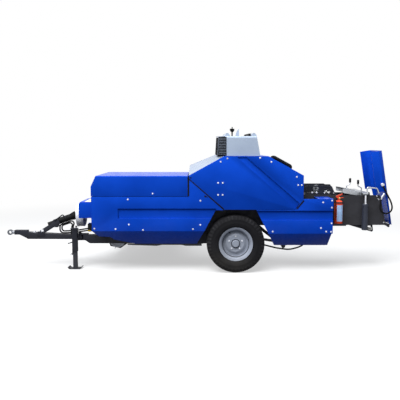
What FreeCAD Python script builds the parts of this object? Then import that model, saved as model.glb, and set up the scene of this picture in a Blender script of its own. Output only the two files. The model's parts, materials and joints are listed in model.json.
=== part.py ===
"""Side pick-up square baler, drawn as a parametric document.

All pieces are drawn in one machine frame: x runs to the rear from the axle, y to the machine's
right from the outer face of the left tyre, and z up from the ground, in millimetres. Each
finished piece is then placed so that the origin lies on the ground in the middle of the footprint.
"""
import FreeCAD, Part
import math
import os
import Sketcher

from FreeCAD import Placement, Rotation, Vector

# ---------------------------------------------------------------- driving dimensions
SIZES = {
    "Machine frame": {
        "axle_station": 500, "left_face_station": -1230, "axle_height": 385,
    },
    "Wheels": {
        "tyre_radius": 385, "tyre_width": 264, "tyre_bead_radius": 207, "tread_half": 92,
        "crown_radius": 640, "shoulder_drop": 14, "rim_radius": 225, "rim_well": 180,
        "disc_step": 167, "disc_radius": 110, "hub_radius": 60, "hub_cap": 48, "spindle_radius": 30,
        "spindle_clearance": 0.3, "right_wheel_y": 2328,
    },
    "Axle": {
        "axle_beam": 100, "axle_left": 300, "axle_right": 2160, "bracket_foot": 70,
        "bracket_head": 210, "bracket_plate": 14,
    },
    "Chamber": {
        "chamber_left": 344, "chamber_right": 820, "chamber_plate": 8, "chamber_front": -1400,
        "chamber_floor_z": 596, "chamber_top_z": 1005, "chamber_end_top": 1980,
        "chamber_end_bottom": 2070, "floor_end": 2128, "roof_end": 1300, "feed_front": -1250,
        "feed_rear": -550, "feed_low": 640, "feed_high": 985, "needle_pitch": 228, "slot_width": 34,
        "floor_slot_front": 1000, "floor_slot_rear": 1120, "roof_slot_front": 940,
        "roof_slot_rear": 1085,
    },
    "Main frame": {
        "beam_left": 365, "beam_width": 110, "frame_front": -2080, "frame_top": 452,
        "frame_low_front": 398, "frame_low": 337, "frame_knee": -1990, "frame_step": -1640,
        "frame_rear_top": 435, "post_width": 90, "front_post": -1780, "rear_post": -700,
        "pivot_x": -2130, "pivot_plate": 12, "pivot_reach": 50, "pivot_radius": 20,
        "side_member_low": 560, "gearbox_front": -1880, "case_width": 300, "case_length": 330,
        "case_height": 400, "case_corner": 40, "crank_web": 60, "bow_radius": 11, "bow_z": 373,
        "strut_low": 396, "strut_width": 40, "strut_top_x": 245, "stop_tip_x": 628,
        "stop_tip_z": 325, "stop_tip": 16,
    },
    "Drawbar": {
        "bar_front": -2847, "bar_top_front": 487, "bar_low_front": 398, "bar_low_rear": 395,
        "bar_top_rear": 449, "tongue_front": -3030, "tongue_top": 515, "tongue_low": 455,
        "tongue_width": 70, "eye_x": -3097, "eye_z": 483, "eye_radius": 38, "eye_hole": 20,
        "eye_thickness": 30, "shank_radius": 17,
    },
    "Prop and shaft": {
        "prop_foot_x": -2640, "prop_foot_z": 497, "prop_head_x": -2446, "prop_head_z": 618,
        "prop_width": 64, "saddle_drop": 56, "saddle_length": 44, "saddle_width": 165,
        "prop_plate": 10, "shaft_rear_x": -2220, "shaft_rear_z": 701.7, "shaft_front_x": -2504,
        "shaft_front_z": 608.7, "shaft_rear_y": 573.3, "shaft_front_y": 453.3, "guard_radius": 44,
        "bell_radius": 62, "bell_length": 80, "yoke_radius": 34, "yoke_length": 75,
        "yoke_bore": 17.5, "yoke_bore_depth": 60, "prop_head": 50, "pin_head": 8, "pin_radius": 13,
        "brace_radius": 8, "hose_x": -2218, "hose_y": 388, "hose_foot": 536, "hose_radius": 10,
        "hose_pitch": 24, "coupler_length": 44, "bracket_gauge": 6,
    },
    "Flywheel": {
        "flywheel_front": -2188, "flywheel_width": 94, "flywheel_y": 582, "flywheel_z": 710,
        "flywheel_radius": 168, "flywheel_rim": 28, "flywheel_web": 26, "flywheel_hub": 55,
        "flywheel_shaft": 30, "cover_front": -2125, "cover_rear": -1896, "cover_low": 693,
        "cover_top": 913, "cover_left": 325, "cover_right": 840, "cover_chamfer": 45,
        "cover_sheet": 4, "flywheel_reach": 225, "web_circle": 96, "web_hole": 24,
    },
    "Jack": {
        "jack_x": -2178, "jack_y": 308, "jack_tube": 72, "jack_wall": 4, "jack_low": 240,
        "jack_top": 550, "jack_leg": 56, "leg_top": 312, "foot_length": 190, "foot_width": 130,
        "foot_plate": 8, "foot_lip": 28, "jack_corner": 10, "jack_cap": 8, "jack_cap_radius": 50,
        "pin_z": 202, "foot_bend": 70,
    },
    "Covers": {
        "cover_face": 30, "panel_sheet": 5, "hood_front": -1896, "hood_rear": -634,
        "hood_seam": 1016, "hood_top": 1285, "hood_brow": -1830, "hood_cheek": 1144,
        "hood_right": 1080, "hood_gap": 6, "skirt_front": -1890, "skirt_bevel": 560,
        "skirt_low": 374, "skirt_inset": 110, "skirt_toe": -1334, "skirt_nose_z": 515,
        "skirt_nose_x": -1846, "band_front": -1545, "band_low": 721, "band_top": 862,
        "band_depth": 20, "arch_top": 836, "arch_top_front": -266, "arch_top_rear": 267,
        "arch_low_front": -520, "arch_low_rear": 517, "arch_low_z": 350, "rear_skirt_end": 1269,
        "rear_skirt_top": 985, "rear_skirt_bevel": 526, "rear_skirt_low": 354, "rear_low_x": 1225,
        "hood_round": 12, "crest_front": -622, "crest_rear": -165, "crest_top": 1243,
        "band_inset": 0, "rear_band_low": 699, "rear_band_top": 832, "nose_knee_x": -1607,
        "nose_knee_z": 436, "nose_flat_x": -1660, "nose_flat_z": 475, "nose_front_x": -1803,
        "nose_front_z": 481, "hinge_y": 1092, "hinge_z": 1008, "hinge_eye": 9, "hinge_pin": 5,
        "knuckle": 8, "pin_length": 90, "front_hinge": -1650, "rear_hinge": -900, "shelf_lip": 20,
        "stop_reach": 42, "stop_y": 75, "stop_z": 636, "stop_radius": 30, "liner_front": -560,
        "liner_low": 600, "liner_rear": 470, "liner_front_arc": 260,
    },
    "Tall panel": {
        "tall_front": -617, "tall_front_z": 1290, "tall_shoulder": -162, "tall_top": 1540,
        "tall_top_rear": 418, "tall_rear": 877, "tall_rear_z": 1290, "tall_rear_low": 971,
        "tall_toe": 772, "tall_low": 843, "tall_low_front": -159, "tall_notch_z": 1250,
        "groove_width": 133, "groove_depth": 16, "slope_thickness": 4, "slope_near": 40,
        "slope_far": 1040, "groove_front": 0, "groove_foot": 779, "groove_toe": 48,
        "groove_rise": 89, "far_front": -623, "far_front_z": 1384, "far_shoulder": -247,
        "riser_low": 1180, "slope_tube": 22, "slope_lift": 25, "slope_reach": 270,
        "slope_start": 60, "slope_first_y": 60, "slope_pitch": 56, "slope_gap": 30,
    },
    "Cowl": {
        "cowl_front": -150, "cowl_rear": 264, "cowl_rear_low": 313, "cowl_low": 1542,
        "cowl_top": 1799, "cowl_near": 60, "cowl_far": 1020, "cowl_bow": 95, "cowl_sheet": 5,
        "finial_x": -37, "finial_top": 1927, "finial_radius": 9, "cowl_round": 26, "hoop_width": 72,
        "hoop_rise": 40, "fin_x": 11, "fin_width": 47, "fin_height": 104, "flap_front": 158,
        "finial_y": 400,
    },
    "Needles": {
        "yoke_x": 640, "yoke_z": 760, "needle_radius": 452, "needle_depth": 36, "needle_width": 12,
        "needle_span": 63, "needle_home": 23.5, "yoke_tube": 18, "arm_plate": 12,
        "arm_clearance": 14, "needle_eye": 28, "twine_eye": 3.5, "arm_sweep": 2500,
    },
    "Pick-up": {
        "reel_x": -1690, "reel_z": 312, "band_radius": 150, "band_strip": 4, "tine_radius": 186,
        "pickup_left": 930, "pickup_right": 2320, "pickup_plate": 8, "lift_x": -1440, "lift_z": 462,
        "lift_radius": 20, "tie_reach": 205, "tie_rise": 60, "tie_radius": 20, "gauge_radius": 150,
        "gauge_width": 70, "gauge_x": -1560, "gauge_z": 172, "feeder_front": -1425,
        "feeder_rear": -560, "feeder_floor": 500, "feeder_top": 984, "feeder_right": 2290,
    },
    "Rear": {
        "chute_hinge_x": 2120, "chute_hinge_z": 574, "chute_length": 1022, "chute_lean": 9.5,
        "chute_wall": 145, "chute_sheet": 4, "chute_left": 334, "chute_right": 830,
        "chute_bulge": 26, "chute_clearance": 8, "rail_front": 1488, "rail_rear": 1810,
        "rail_top": 1095, "rail_drop": 62, "rail_width": 60, "beam_height": 26, "ram_y": 282,
        "ram_x": 1762, "ram_radius": 40, "ram_low": 536, "ram_rod": 12, "ram_rod_top": 1054,
        "crank_radius": 7, "bottle_x": 1397, "bottle_radius": 56, "bottle_low": 612,
        "bottle_height": 334, "bottle_y": 262, "knotter_front": 967, "knotter_rear": 1369,
        "knotter_top": 1133, "deck_front": 1075, "chute_set_back": 22, "chute_rise": 28,
        "chute_pin": 9, "strap_eye": 15, "strap_width": 8, "foot_cut_top": 44, "foot_cut_rise": 467,
        "cord_x": 1988, "cord_z": 1152, "cord_y": 284, "cord_radius": 11, "stud_radius": 12,
        "stud_reach": 34, "rail_height": 62, "rail_gauge": 6, "handle_radius": 9, "low_front": 1556,
        "low_rear": 1888, "low_tip_z": 497, "low_plate": 10, "ram_length": 355, "crank_front": 1578,
        "crank_rear": 1688, "grip_top": 1232, "grip_length": 52, "grip_radius": 13,
        "neck_radius": 18, "knotter_plate": 8, "knotter_shaft_x": 1185, "knotter_shaft_z": 1075,
        "knotter_shaft": 16, "disc_width": 12, "disc_root": 40, "disc_tip": 48, "casting_width": 18,
    },
}

doc = FreeCAD.newDocument("SquareBaler")
sheet = doc.addObject("Spreadsheet::Sheet", "Sizes")


def fill_sheet():
    """Write every driving dimension into the sheet under its alias."""
    row = 1
    for section, sizes in SIZES.items():
        sheet.set(f"A{row}", section)
        row += 1
        for alias, value in sizes.items():
            sheet.set(f"A{row}", alias)
            sheet.set(f"B{row}", str(value))
            sheet.setAlias(f"B{row}", alias)
            row += 1
    doc.recompute()


class Size:
    """A length of the sheet: its number now, and the formula that follows the sheet."""

    def __init__(self, number, formula):
        self.number = number
        self.formula = formula

    def _with(self, mark, other, number):
        return Size(number, f"({self.formula} {mark} {formula_of(other)})")

    def __add__(self, other):
        return self._with("+", other, self.number + number_of(other))

    def __sub__(self, other):
        return self._with("-", other, self.number - number_of(other))

    def __mul__(self, other):
        return self._with("*", other, self.number * number_of(other))

    def __truediv__(self, other):
        return self._with("/", other, self.number / number_of(other))

    def __neg__(self):
        return Size(-self.number, f"(0 - {self.formula})")


def number_of(value):
    return value.number if isinstance(value, Size) else float(value)


def formula_of(value):
    return value.formula if isinstance(value, Size) else repr(float(value))


class Sheet:
    """Attribute access to the sheet's aliases: s.tyre_radius is the Size of that cell."""

    def __getattr__(self, alias):
        return Size(float(sheet.get(alias)), "Sizes." + alias)


s = Sheet()
ZERO = Size(0.0, "0")


def root(value):
    return Size(math.sqrt(value.number), f"sqrt({value.formula})")


def cosine(angle):
    return Size(math.cos(math.radians(angle.number)), f"cos({angle.formula} * 1 deg)")


def sine(angle):
    return Size(math.sin(math.radians(angle.number)), f"sin({angle.formula} * 1 deg)")


# ---------------------------------------------------------------- drawing helpers
def bind(target, **sizes):
    """Bind properties to the sheet; a double underscore stands for a dot."""
    for name, value in sizes.items():
        target.setExpression(name.replace("__", "."), formula_of(value))


def put(target, x=ZERO, y=ZERO, z=ZERO, rotation=None):
    """Turn an object and bind its place."""
    if rotation is not None:
        target.Placement = Placement(Vector(), rotation)
    bind(target, Placement__Base__x=x, Placement__Base__y=y, Placement__Base__z=z)
    return target


def box(name, x, y, z, length, width, height):
    piece = doc.addObject("Part::Box", name)
    bind(piece, Length=length, Width=width, Height=height)
    return put(piece, x, y, z)


TURNS = {
    "X": Rotation(Vector(0, 1, 0), 90),
    "Y": Rotation(Vector(1, 0, 0), -90),
    "Z": Rotation(),
}


def rod(name, way, x, y, z, radius, length):
    """A round bar from (x, y, z) along an axis of the machine."""
    piece = doc.addObject("Part::Cylinder", name)
    bind(piece, Radius=radius, Height=length)
    return put(piece, x, y, z, TURNS[way])


def fuse(name, parts):
    piece = doc.addObject("Part::MultiFuse", name)
    piece.Shapes = parts
    piece.Refine = True
    return piece


def cut(name, base, tools):
    tool = tools[0] if len(tools) == 1 else fuse(name + "_tools", tools)
    piece = doc.addObject("Part::Cut", name)
    piece.Base = base
    piece.Tool = tool
    return piece


PLANES = {"Z": "XY_Plane", "Y": "XZ_Plane", "X": "YZ_Plane"}


def sketch_on(body, way, name, start=ZERO):
    """A sketch square to an axis of the machine, at a distance along that axis."""
    sketch = body.newObject("Sketcher::SketchObject", name)
    plane = [f for f in body.Origin.OriginFeatures if f.Role == PLANES[way]][0]
    sketch.AttachmentSupport = (plane, "")
    sketch.MapMode = "FlatFace"
    offset = -start if way == "Y" else start
    bind(sketch, AttachmentOffset__Base__z=offset)
    return sketch


def constrain(sketch, kind, geometry, value):
    index = sketch.addConstraint(Sketcher.Constraint(kind, *geometry, number_of(value)))
    if isinstance(value, Size):
        sketch.setExpression(f"Constraints[{index}]", value.formula)


def arc_between(here, there, radius):
    """An arc that bulges to the right of its way for a positive radius, to the left for a negative.

    It comes back with the order of its ends, because a sketch holds every arc anticlockwise.
    """
    chord = there - here
    rise = math.sqrt(max(radius ** 2 - (chord.Length / 2) ** 2, 0))
    left = Vector(-chord.y, chord.x, 0).normalize()
    centre = (here + there) * 0.5 + left * math.copysign(rise, radius)
    begin, finish, order = (here, there, (1, 2)) if radius > 0 else (there, here, (2, 1))
    first = math.atan2(begin.y - centre.y, begin.x - centre.x)
    last = math.atan2(finish.y - centre.y, finish.x - centre.x)
    if last < first:
        last += 2 * math.pi
    circle = Part.Circle(centre, Vector(0, 0, 1), abs(radius))
    return Part.ArcOfCircle(circle, first, last), order


def outline(sketch, corners):
    """A closed outline. A corner is (u, v); one that ends an arc is (u, v, radius)."""
    first = sketch.GeometryCount
    points = [Vector(number_of(c[0]), number_of(c[1]), 0) for c in corners]
    ends = []
    for index, corner in enumerate(corners):
        here, there = points[index - 1], points[index]
        if len(corner) == 2:
            sketch.addGeometry(Part.LineSegment(here, there), False)
            ends.append((1, 2))
            continue
        curve, order = arc_between(here, there, number_of(corner[2]))
        sketch.addGeometry(curve, False)
        ends.append(order)
    count = len(corners)
    for index in range(count):
        follower = (index + 1) % count
        sketch.addConstraint(Sketcher.Constraint(
            "Coincident", first + index, ends[index][1], first + follower, ends[follower][0]))
    for index, corner in enumerate(corners):
        place = (-1, 1, first + index, ends[index][1])
        constrain(sketch, "DistanceX", place, corner[0])
        constrain(sketch, "DistanceY", place, corner[1])
        if len(corner) == 3:
            radius = corner[2] if number_of(corner[2]) > 0 else -corner[2]
            constrain(sketch, "Radius", (first + index,), radius)
    return sketch


def route(sketch, corners):
    """An open line of runs and arcs, written as an outline is; it returns its number of edges."""
    points = [Vector(number_of(c[0]), number_of(c[1]), 0) for c in corners]
    for here, there, corner in zip(points, points[1:], corners[1:]):
        if len(corner) == 2:
            sketch.addGeometry(Part.LineSegment(here, there), False)
        else:
            sketch.addGeometry(arc_between(here, there, corner[2])[0], False)
    return sketch.GeometryCount


def bends(points, radii):
    """Straight runs joined by tangent arcs, from points (u, v) and a radius at each inner point."""
    line = [points[0]]
    for before, here, after, radius in zip(points, points[1:], points[2:], radii):
        corner = Vector(*here, 0)
        back = (Vector(*before, 0) - corner).normalize()
        onward = (Vector(*after, 0) - corner).normalize()
        reach = radius * math.tan((math.pi - back.getAngle(onward)) / 2)
        begin, finish = corner + back * reach, corner + onward * reach
        line += [(begin.x, begin.y),
                 (finish.x, finish.y, math.copysign(radius, onward.cross(back).z))]
    return line + [points[-1]]


def pipe(name, radius, points, radii, x, y, z):
    """A round bar or hose in an xz plane, through points given as offsets from (x, y, z)."""
    first_x, first_z = points[1][0] - points[0][0], points[1][1] - points[0][1]
    tilt = math.atan2(first_x, first_z)
    along = [(u * math.cos(tilt) - v * math.sin(tilt), u * math.sin(tilt) + v * math.cos(tilt))
             for u, v in points]
    body = new_body(name)
    spine = sketch_on(body, "Y", name + "_spine")
    count = route(spine, bends(along, radii))
    section = sketch_on(body, "Z", name + "_section")
    ring(section, ZERO, ZERO, radius)
    feature = body.newObject("PartDesign::AdditivePipe", "Swept")
    feature.Profile = section
    feature.Spine = (spine, [f"Edge{index + 1}" for index in range(count)])
    body.Placement = Placement(Vector(), Rotation(Vector(0, 1, 0), math.degrees(tilt)))
    put_place(body, x, y, z)
    return body


def rounded(left, low, right, top, radius):
    """The outline of a rectangle with round corners."""
    return [(left + radius, low, radius), (right - radius, low), (right, low + radius, radius),
            (right, top - radius), (right - radius, top, radius), (left + radius, top),
            (left, top - radius, radius), (left, low + radius)]


def fillet(body, radius, chosen):
    """Round the edges of a body's last feature that the test picks out."""
    doc.recompute()
    tip = body.Tip
    edges = [f"Edge{index + 1}" for index, edge in enumerate(tip.Shape.Edges)
             if chosen(edge.BoundBox)]
    feature = body.newObject("PartDesign::Fillet", "Round")
    feature.Base = (tip, edges)
    bind(feature, Radius=radius)
    return feature


def thin(body, gauge, open_face):
    """Hollow a body's last feature to a sheet, open at the faces that the test picks out."""
    doc.recompute()
    tip = body.Tip
    faces = [f"Face{index + 1}" for index, face in enumerate(tip.Shape.Faces)
             if open_face(face.BoundBox)]
    feature = body.newObject("PartDesign::Thickness", "Sheet")
    feature.Base = (tip, faces)
    feature.Reversed = True
    feature.Join = 0
    bind(feature, Value=gauge)
    return feature


def loft(name, near_y, near, far_y, far):
    """A ruled solid between two outlines square to y."""
    body = new_body(name)
    first = sketch_on(body, "Y", name + "_near", near_y)
    outline(first, near)
    last = sketch_on(body, "Y", name + "_far", far_y)
    outline(last, far)
    feature = body.newObject("PartDesign::AdditiveLoft", "Ruled")
    feature.Profile = first
    feature.Sections = [last]
    feature.Ruled = True
    return body


def ring(sketch, u, v, radius):
    """A full circle in a sketch."""
    circle = sketch.addGeometry(
        Part.Circle(Vector(number_of(u), number_of(v), 0), Vector(0, 0, 1), number_of(radius)))
    constrain(sketch, "DistanceX", (-1, 1, circle, 3), u)
    constrain(sketch, "DistanceY", (-1, 1, circle, 3), v)
    constrain(sketch, "Radius", (circle,), radius)


def pad(body, sketch, way, length, name="Pad"):
    """Extrude a sketch along its axis of the machine, towards +."""
    feature = body.newObject("PartDesign::Pad", name)
    feature.Profile = sketch
    feature.Reversed = way == "Y"
    bind(feature, Length=length)
    sketch.Visibility = False
    return feature


def pocket(body, sketch, way, depth, name="Pocket"):
    """Cut a sketch along its axis of the machine, towards +."""
    feature = body.newObject("PartDesign::Pocket", name)
    feature.Profile = sketch
    feature.Reversed = way != "Y"
    bind(feature, Length=depth)
    return feature


def new_body(name):
    return doc.addObject("PartDesign::Body", name)


def plate(name, way, start, thickness, corners, holes=()):
    """A flat plate: an outline square to an axis, with round holes (u, v, radius)."""
    body = new_body(name)
    sketch = sketch_on(body, way, name + "_outline", start)
    outline(sketch, corners)
    for u, v, radius in holes:
        ring(sketch, u, v, radius)
    pad(body, sketch, way, thickness)
    return body


def turned(name, corners, way="Y"):
    """A body turned about an axis of the machine; corners are (radius, station along it)."""
    body = new_body(name)
    sketch = sketch_on(body, "Z", name + "_section")
    outline(sketch, corners)
    feature = body.newObject("PartDesign::Revolution", "Turned")
    feature.Profile = sketch
    feature.ReferenceAxis = (sketch, ["V_Axis"])
    feature.Angle = 360
    return body


PIECES = []


def keep(piece, label, x=ZERO, y=ZERO, z=ZERO):
    """Name a finished piece and place it in the machine, from its own corner of the frame."""
    piece.Label = label
    bind(piece, Placement__Base__x=s.axle_station + x, Placement__Base__y=s.left_face_station + y,
         Placement__Base__z=z)
    PIECES.append(piece)
    return piece


fill_sheet()


# ---------------------------------------------------------------- wheels
def tyre(label, centre_y):
    half = s.tyre_width / 2
    crown = s.tyre_radius - s.crown_radius + root(
        s.crown_radius * s.crown_radius - s.tread_half * s.tread_half)
    shoulder = s.tyre_radius - s.shoulder_drop * 1.5
    section = [
        (s.tyre_bead_radius, -80), (s.tyre_bead_radius + 20, -95),
        (s.tyre_bead_radius + 30, -half + 14), (s.tyre_bead_radius + 85, -half),
        (shoulder - 28, -half + 8), (shoulder, -s.tread_half - 12), (crown, -s.tread_half),
        (crown, s.tread_half, s.crown_radius), (shoulder, s.tread_half + 12),
        (shoulder - 28, half - 8), (s.tyre_bead_radius + 85, half),
        (s.tyre_bead_radius + 30, half - 14), (s.tyre_bead_radius + 20, 95),
        (s.tyre_bead_radius, 80),
    ]
    keep(turned(label, section), label, y=centre_y, z=s.axle_height)


def rim(label, centre_y, outward):
    """Pressed rim with its disc, hub and cap; outward is -1 on the left and +1 on the right."""
    bore = s.spindle_radius + s.spindle_clearance
    path = [
        (0, 75), (40, 75), (s.hub_cap, 66), (s.hub_cap, 46), (s.disc_radius, 46), (140, 30),
        (s.disc_step, 24), (172, 62), (198, 94), (s.rim_radius - 2, 104), (s.rim_radius, 98),
        (203, 84), (s.rim_well, 58), (s.rim_well, -30), (203, -88), (s.rim_radius, -98),
        (s.rim_radius - 2, -104), (196, -96), (174, -34), (174, 16), (140, 22),
        (s.disc_radius, 38), (s.hub_radius, 38),
        (s.hub_radius, -70), (bore, -70), (bore, 60), (0, 60),
    ]
    section = [(r, station * outward) for r, station in path]
    keep(turned(label, section), label, y=centre_y, z=s.axle_height)


def wheels():
    left_y = s.tyre_width / 2
    tyre("left_tyre", left_y)
    rim("left_rim", left_y, -1)
    tyre("right_tyre", s.right_wheel_y)
    rim("right_rim", s.right_wheel_y, 1)


# ---------------------------------------------------------------- axle and frame
def axle():
    half = s.axle_beam / 2
    length = s.axle_right - s.axle_left
    beam = box("AxleBeam", -half, s.axle_left, s.axle_height - half, s.axle_beam, length,
               s.axle_beam)
    reach = 58
    left = rod("LeftSpindle", "Y", ZERO, s.tyre_width / 2 - reach, s.axle_height,
               s.spindle_radius, s.axle_left - s.tyre_width / 2 + reach + 10)
    right = rod("RightSpindle", "Y", ZERO, s.axle_right - 10, s.axle_height,
                s.spindle_radius, s.right_wheel_y - s.axle_right + reach + 10)
    top = s.axle_height + half
    brackets = [
        plate(f"Bracket{index}", "Y", station, s.bracket_plate, [
            (-s.bracket_foot, top), (s.bracket_foot, top),
            (s.bracket_head, s.chamber_floor_z - 8), (s.bracket_head, s.chamber_floor_z),
            (-s.bracket_head, s.chamber_floor_z), (-s.bracket_head, s.chamber_floor_z - 8)])
        for index, station in enumerate((s.chamber_left + 16, s.chamber_right - 30))
    ]
    keep(fuse("Axle", [beam, left, right] + brackets), "axle")


def main_beam():
    beam = plate("BeamSides", "Y", s.beam_left, s.beam_width, [
        (s.frame_front, s.frame_low_front), (s.frame_knee, s.frame_low),
        (-s.axle_beam / 2, s.frame_low), (-s.axle_beam / 2, s.frame_rear_top),
        (s.frame_step, s.frame_rear_top), (s.frame_step - 120, s.frame_top),
        (s.frame_front, s.frame_top)])
    posts = [
        box(f"Post{index}", station, s.beam_left, s.frame_rear_top - 5, s.post_width,
            s.beam_width, s.chamber_floor_z - s.frame_rear_top + 5)
        for index, station in enumerate((s.chamber_front + 40, s.rear_post))
    ]
    front_post = box("FrontPost", s.front_post, s.beam_left, s.frame_top - 5, s.post_width,
                     s.beam_width, s.side_member_low - s.frame_top + 5)
    upper = box("UpperLug", s.pivot_x - s.pivot_reach, s.beam_left, s.frame_top + 3,
                s.frame_front - s.pivot_x + s.pivot_reach + 60, s.beam_width, s.pivot_plate)
    joint = box("LugWeb", s.frame_front, s.beam_left, s.frame_top - 4, 60, s.beam_width, 8)
    lower = box("LowerLug", s.pivot_x - s.pivot_reach, s.beam_left,
                s.bar_low_rear - 4 - s.pivot_plate,
                s.frame_front - s.pivot_x + s.pivot_reach + 40, s.beam_width, s.pivot_plate)
    pin = rod("PivotPin", "Z", s.pivot_x, s.beam_left + s.beam_width / 2,
              s.bar_low_rear - 4 - s.pivot_plate, s.pivot_radius,
              s.frame_top + 3 + s.pivot_plate - s.bar_low_rear + 4 + s.pivot_plate + 14)
    keep(fuse("MainBeam", [beam, front_post, upper, joint, lower, pin] + posts), "main_beam")


# ---------------------------------------------------------------- bale chamber
def chamber():
    top, low = s.chamber_top_z, s.chamber_floor_z + s.chamber_plate
    side = [(s.chamber_front, low), (s.chamber_end_bottom, low), (s.chamber_end_top, top),
            (s.chamber_front, top)]
    keep(plate("LeftWall", "Y", s.chamber_left, s.chamber_plate, side), "chamber_left_wall")
    right = plate("RightWall", "Y", s.chamber_right - s.chamber_plate, s.chamber_plate, side)
    mouth = sketch_on(right, "Y", "FeedMouth", s.chamber_right - s.chamber_plate - 1)
    outline(mouth, [(s.feed_front, s.feed_low), (s.feed_rear, s.feed_low),
                    (s.feed_rear, s.feed_high), (s.feed_front, s.feed_high)])
    pocket(right, mouth, "Y", s.chamber_plate + 2)
    keep(right, "chamber_right_wall")

    width = s.chamber_right - s.chamber_left
    middle = (s.chamber_left + s.chamber_right) / 2

    def slots(front, rear):
        return [[(front, y - s.slot_width / 2), (rear, y - s.slot_width / 2),
                 (rear, y + s.slot_width / 2), (front, y + s.slot_width / 2)]
                for y in (middle - s.needle_pitch / 2, middle + s.needle_pitch / 2)]

    sheets = []
    for name, z, end, slot_ends in (
            ("Floor", s.chamber_floor_z, s.floor_end, (s.floor_slot_front, s.floor_slot_rear)),
            ("Roof", s.chamber_top_z, s.roof_end, (s.roof_slot_front, s.roof_slot_rear))):
        body = new_body(name)
        sketch = sketch_on(body, "Z", name + "_outline", z)
        outline(sketch, [(s.chamber_front, s.chamber_left), (end, s.chamber_left),
                         (end, s.chamber_left + width), (s.chamber_front, s.chamber_left + width)])
        for slot in slots(*slot_ends):
            outline(sketch, slot)
        pad(body, sketch, "Z", s.chamber_plate)
        sheets.append(body)
    keep(fuse("FloorSolid", sheets[:1] + chute_hinge()), "chamber_floor")
    keep(sheets[1], "chamber_roof")


# ---------------------------------------------------------------- drawbar
def drawbar():
    bar = plate("BarSides", "Y", s.beam_left, s.beam_width, [
        (s.bar_front, s.bar_low_front), (s.pivot_x, s.bar_low_rear),
        (s.pivot_x, s.bar_top_rear), (s.bar_front, s.bar_top_front)])
    middle = s.beam_left + s.beam_width / 2
    boss = rod("PivotBoss", "Z", s.pivot_x, middle, s.bar_low_rear, s.beam_width / 2 - 7,
               s.bar_top_rear - s.bar_low_rear)
    bore = rod("PivotBore", "Z", s.pivot_x, middle, s.bar_low_rear - 5, s.pivot_radius + 0.5,
               s.bar_top_rear - s.bar_low_rear + 20)
    upright = s.hose_y + s.hose_pitch + s.hose_radius + 4
    under = s.hose_foot - s.bracket_gauge
    bracket = plate("HoseBracket", "X", s.hose_x - s.hose_pitch - 20, s.hose_pitch + 40, [
        (upright, s.bar_top_rear - 4), (upright + s.bracket_gauge, s.bar_top_rear - 4),
        (upright + s.bracket_gauge, s.hose_foot), (s.hose_y - 14, s.hose_foot),
        (s.hose_y - 14, under), (upright, under)])
    keep(cut("Drawbar", fuse("BarSolid", [bar, boss, bracket]), [bore]), "drawbar")

    tongue = plate("TongueSides", "Y", middle - s.tongue_width / 2, s.tongue_width, [
        (s.tongue_front, s.tongue_low), (s.tongue_front + 70, s.tongue_low),
        (s.bar_front, s.bar_low_front), (s.bar_front, s.tongue_top),
        (s.tongue_front, s.tongue_top)])
    socket = rod("ShankSocket", "X", s.tongue_front - 1, middle, s.eye_z, s.shank_radius + 0.5, 131)
    keep(cut("HitchTongue", tongue, [socket]), "hitch_tongue")


def hitch_eye():
    """Swivelling tow eye, parked turned on its side."""
    middle = s.beam_left + s.beam_width / 2
    disc = rod("EyeDisc", "Y", s.eye_x, middle - s.eye_thickness / 2, s.eye_z, s.eye_radius,
               s.eye_thickness)
    collar = rod("EyeCollar", "X", s.eye_x + s.eye_radius - 6, middle, s.eye_z, 24,
                 s.tongue_front - s.eye_x - s.eye_radius + 3)
    shank = rod("EyeShank", "X", s.eye_x + s.eye_radius - 6, middle, s.eye_z, s.shank_radius,
                s.tongue_front - s.eye_x - s.eye_radius + 110)
    hole = rod("EyeHole", "Y", s.eye_x, middle - s.eye_thickness / 2 - 1, s.eye_z, s.eye_hole,
               s.eye_thickness + 2)
    keep(cut("HitchEye", fuse("EyeSolid", [disc, collar, shank]), [hole]), "hitch_eye")


def shaft_prop():
    """Flat prop bolted to the side of the drawbar, with the saddle that the shaft rests on."""
    rise_x = s.prop_head_x - s.prop_foot_x
    rise_z = s.prop_head_z - s.prop_foot_z
    length = root(rise_x * rise_x + rise_z * rise_z)
    across = s.prop_width / 2
    off_x = rise_z / length * across
    off_z = rise_x / length * across
    start = s.beam_left - s.prop_plate
    blade = plate("PropBlade", "Y", start, s.prop_plate, [
        (s.prop_foot_x - off_x, s.prop_foot_z + off_z),
        (s.prop_foot_x + off_x, s.prop_foot_z - off_z, across),
        (s.prop_head_x + off_x, s.prop_head_z - off_z),
        (s.prop_head_x - off_x, s.prop_head_z + off_z)])
    head = rod("PropHead", "Y", s.prop_head_x, start, s.prop_head_z, s.prop_head, s.prop_plate)
    foot = plate("PropFoot", "Y", start, s.prop_plate, [
        (s.prop_foot_x - 66, s.prop_foot_z - 54), (s.prop_foot_x + 36, s.prop_foot_z - 54),
        (s.prop_foot_x + 36, s.prop_foot_z + 12), (s.prop_foot_x - 66, s.prop_foot_z + 4)])
    pins = [rod(f"PropPin{index}", "Y", x, start - s.pin_head, z, s.pin_radius, s.pin_head + 1)
            for index, (x, z) in enumerate(((s.prop_foot_x + 7, s.prop_foot_z + 6),
                                            (s.prop_head_x + 24, s.prop_head_z - 2)))]
    saddle = box("PropSaddle", s.prop_head_x - 22, start, s.prop_head_z - s.saddle_drop,
                 s.saddle_length, s.saddle_width, s.prop_plate)
    brace = pipe("ShaftBrace", s.brace_radius, [(0, 0), (112, 84), (154, 38)], [14],
                 s.prop_head_x - 16, start - s.brace_radius + 2, s.prop_head_z + 35)
    keep(fuse("ShaftProp", [blade, head, foot, saddle, brace] + pins), "shaft_prop")


HOSES = [
    ([(0, 0), (0, 30), (30, 129), (-182, 54), (-182, -58), (28, -50), (213, -20)],
     [60, 34, 45, 50, 300]),
    ([(0, 0), (0, 25), (28, 99), (-136, 42), (-136, -34), (52, -27), (237, 4)],
     [50, 30, 34, 34, 300]),
]


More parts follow.
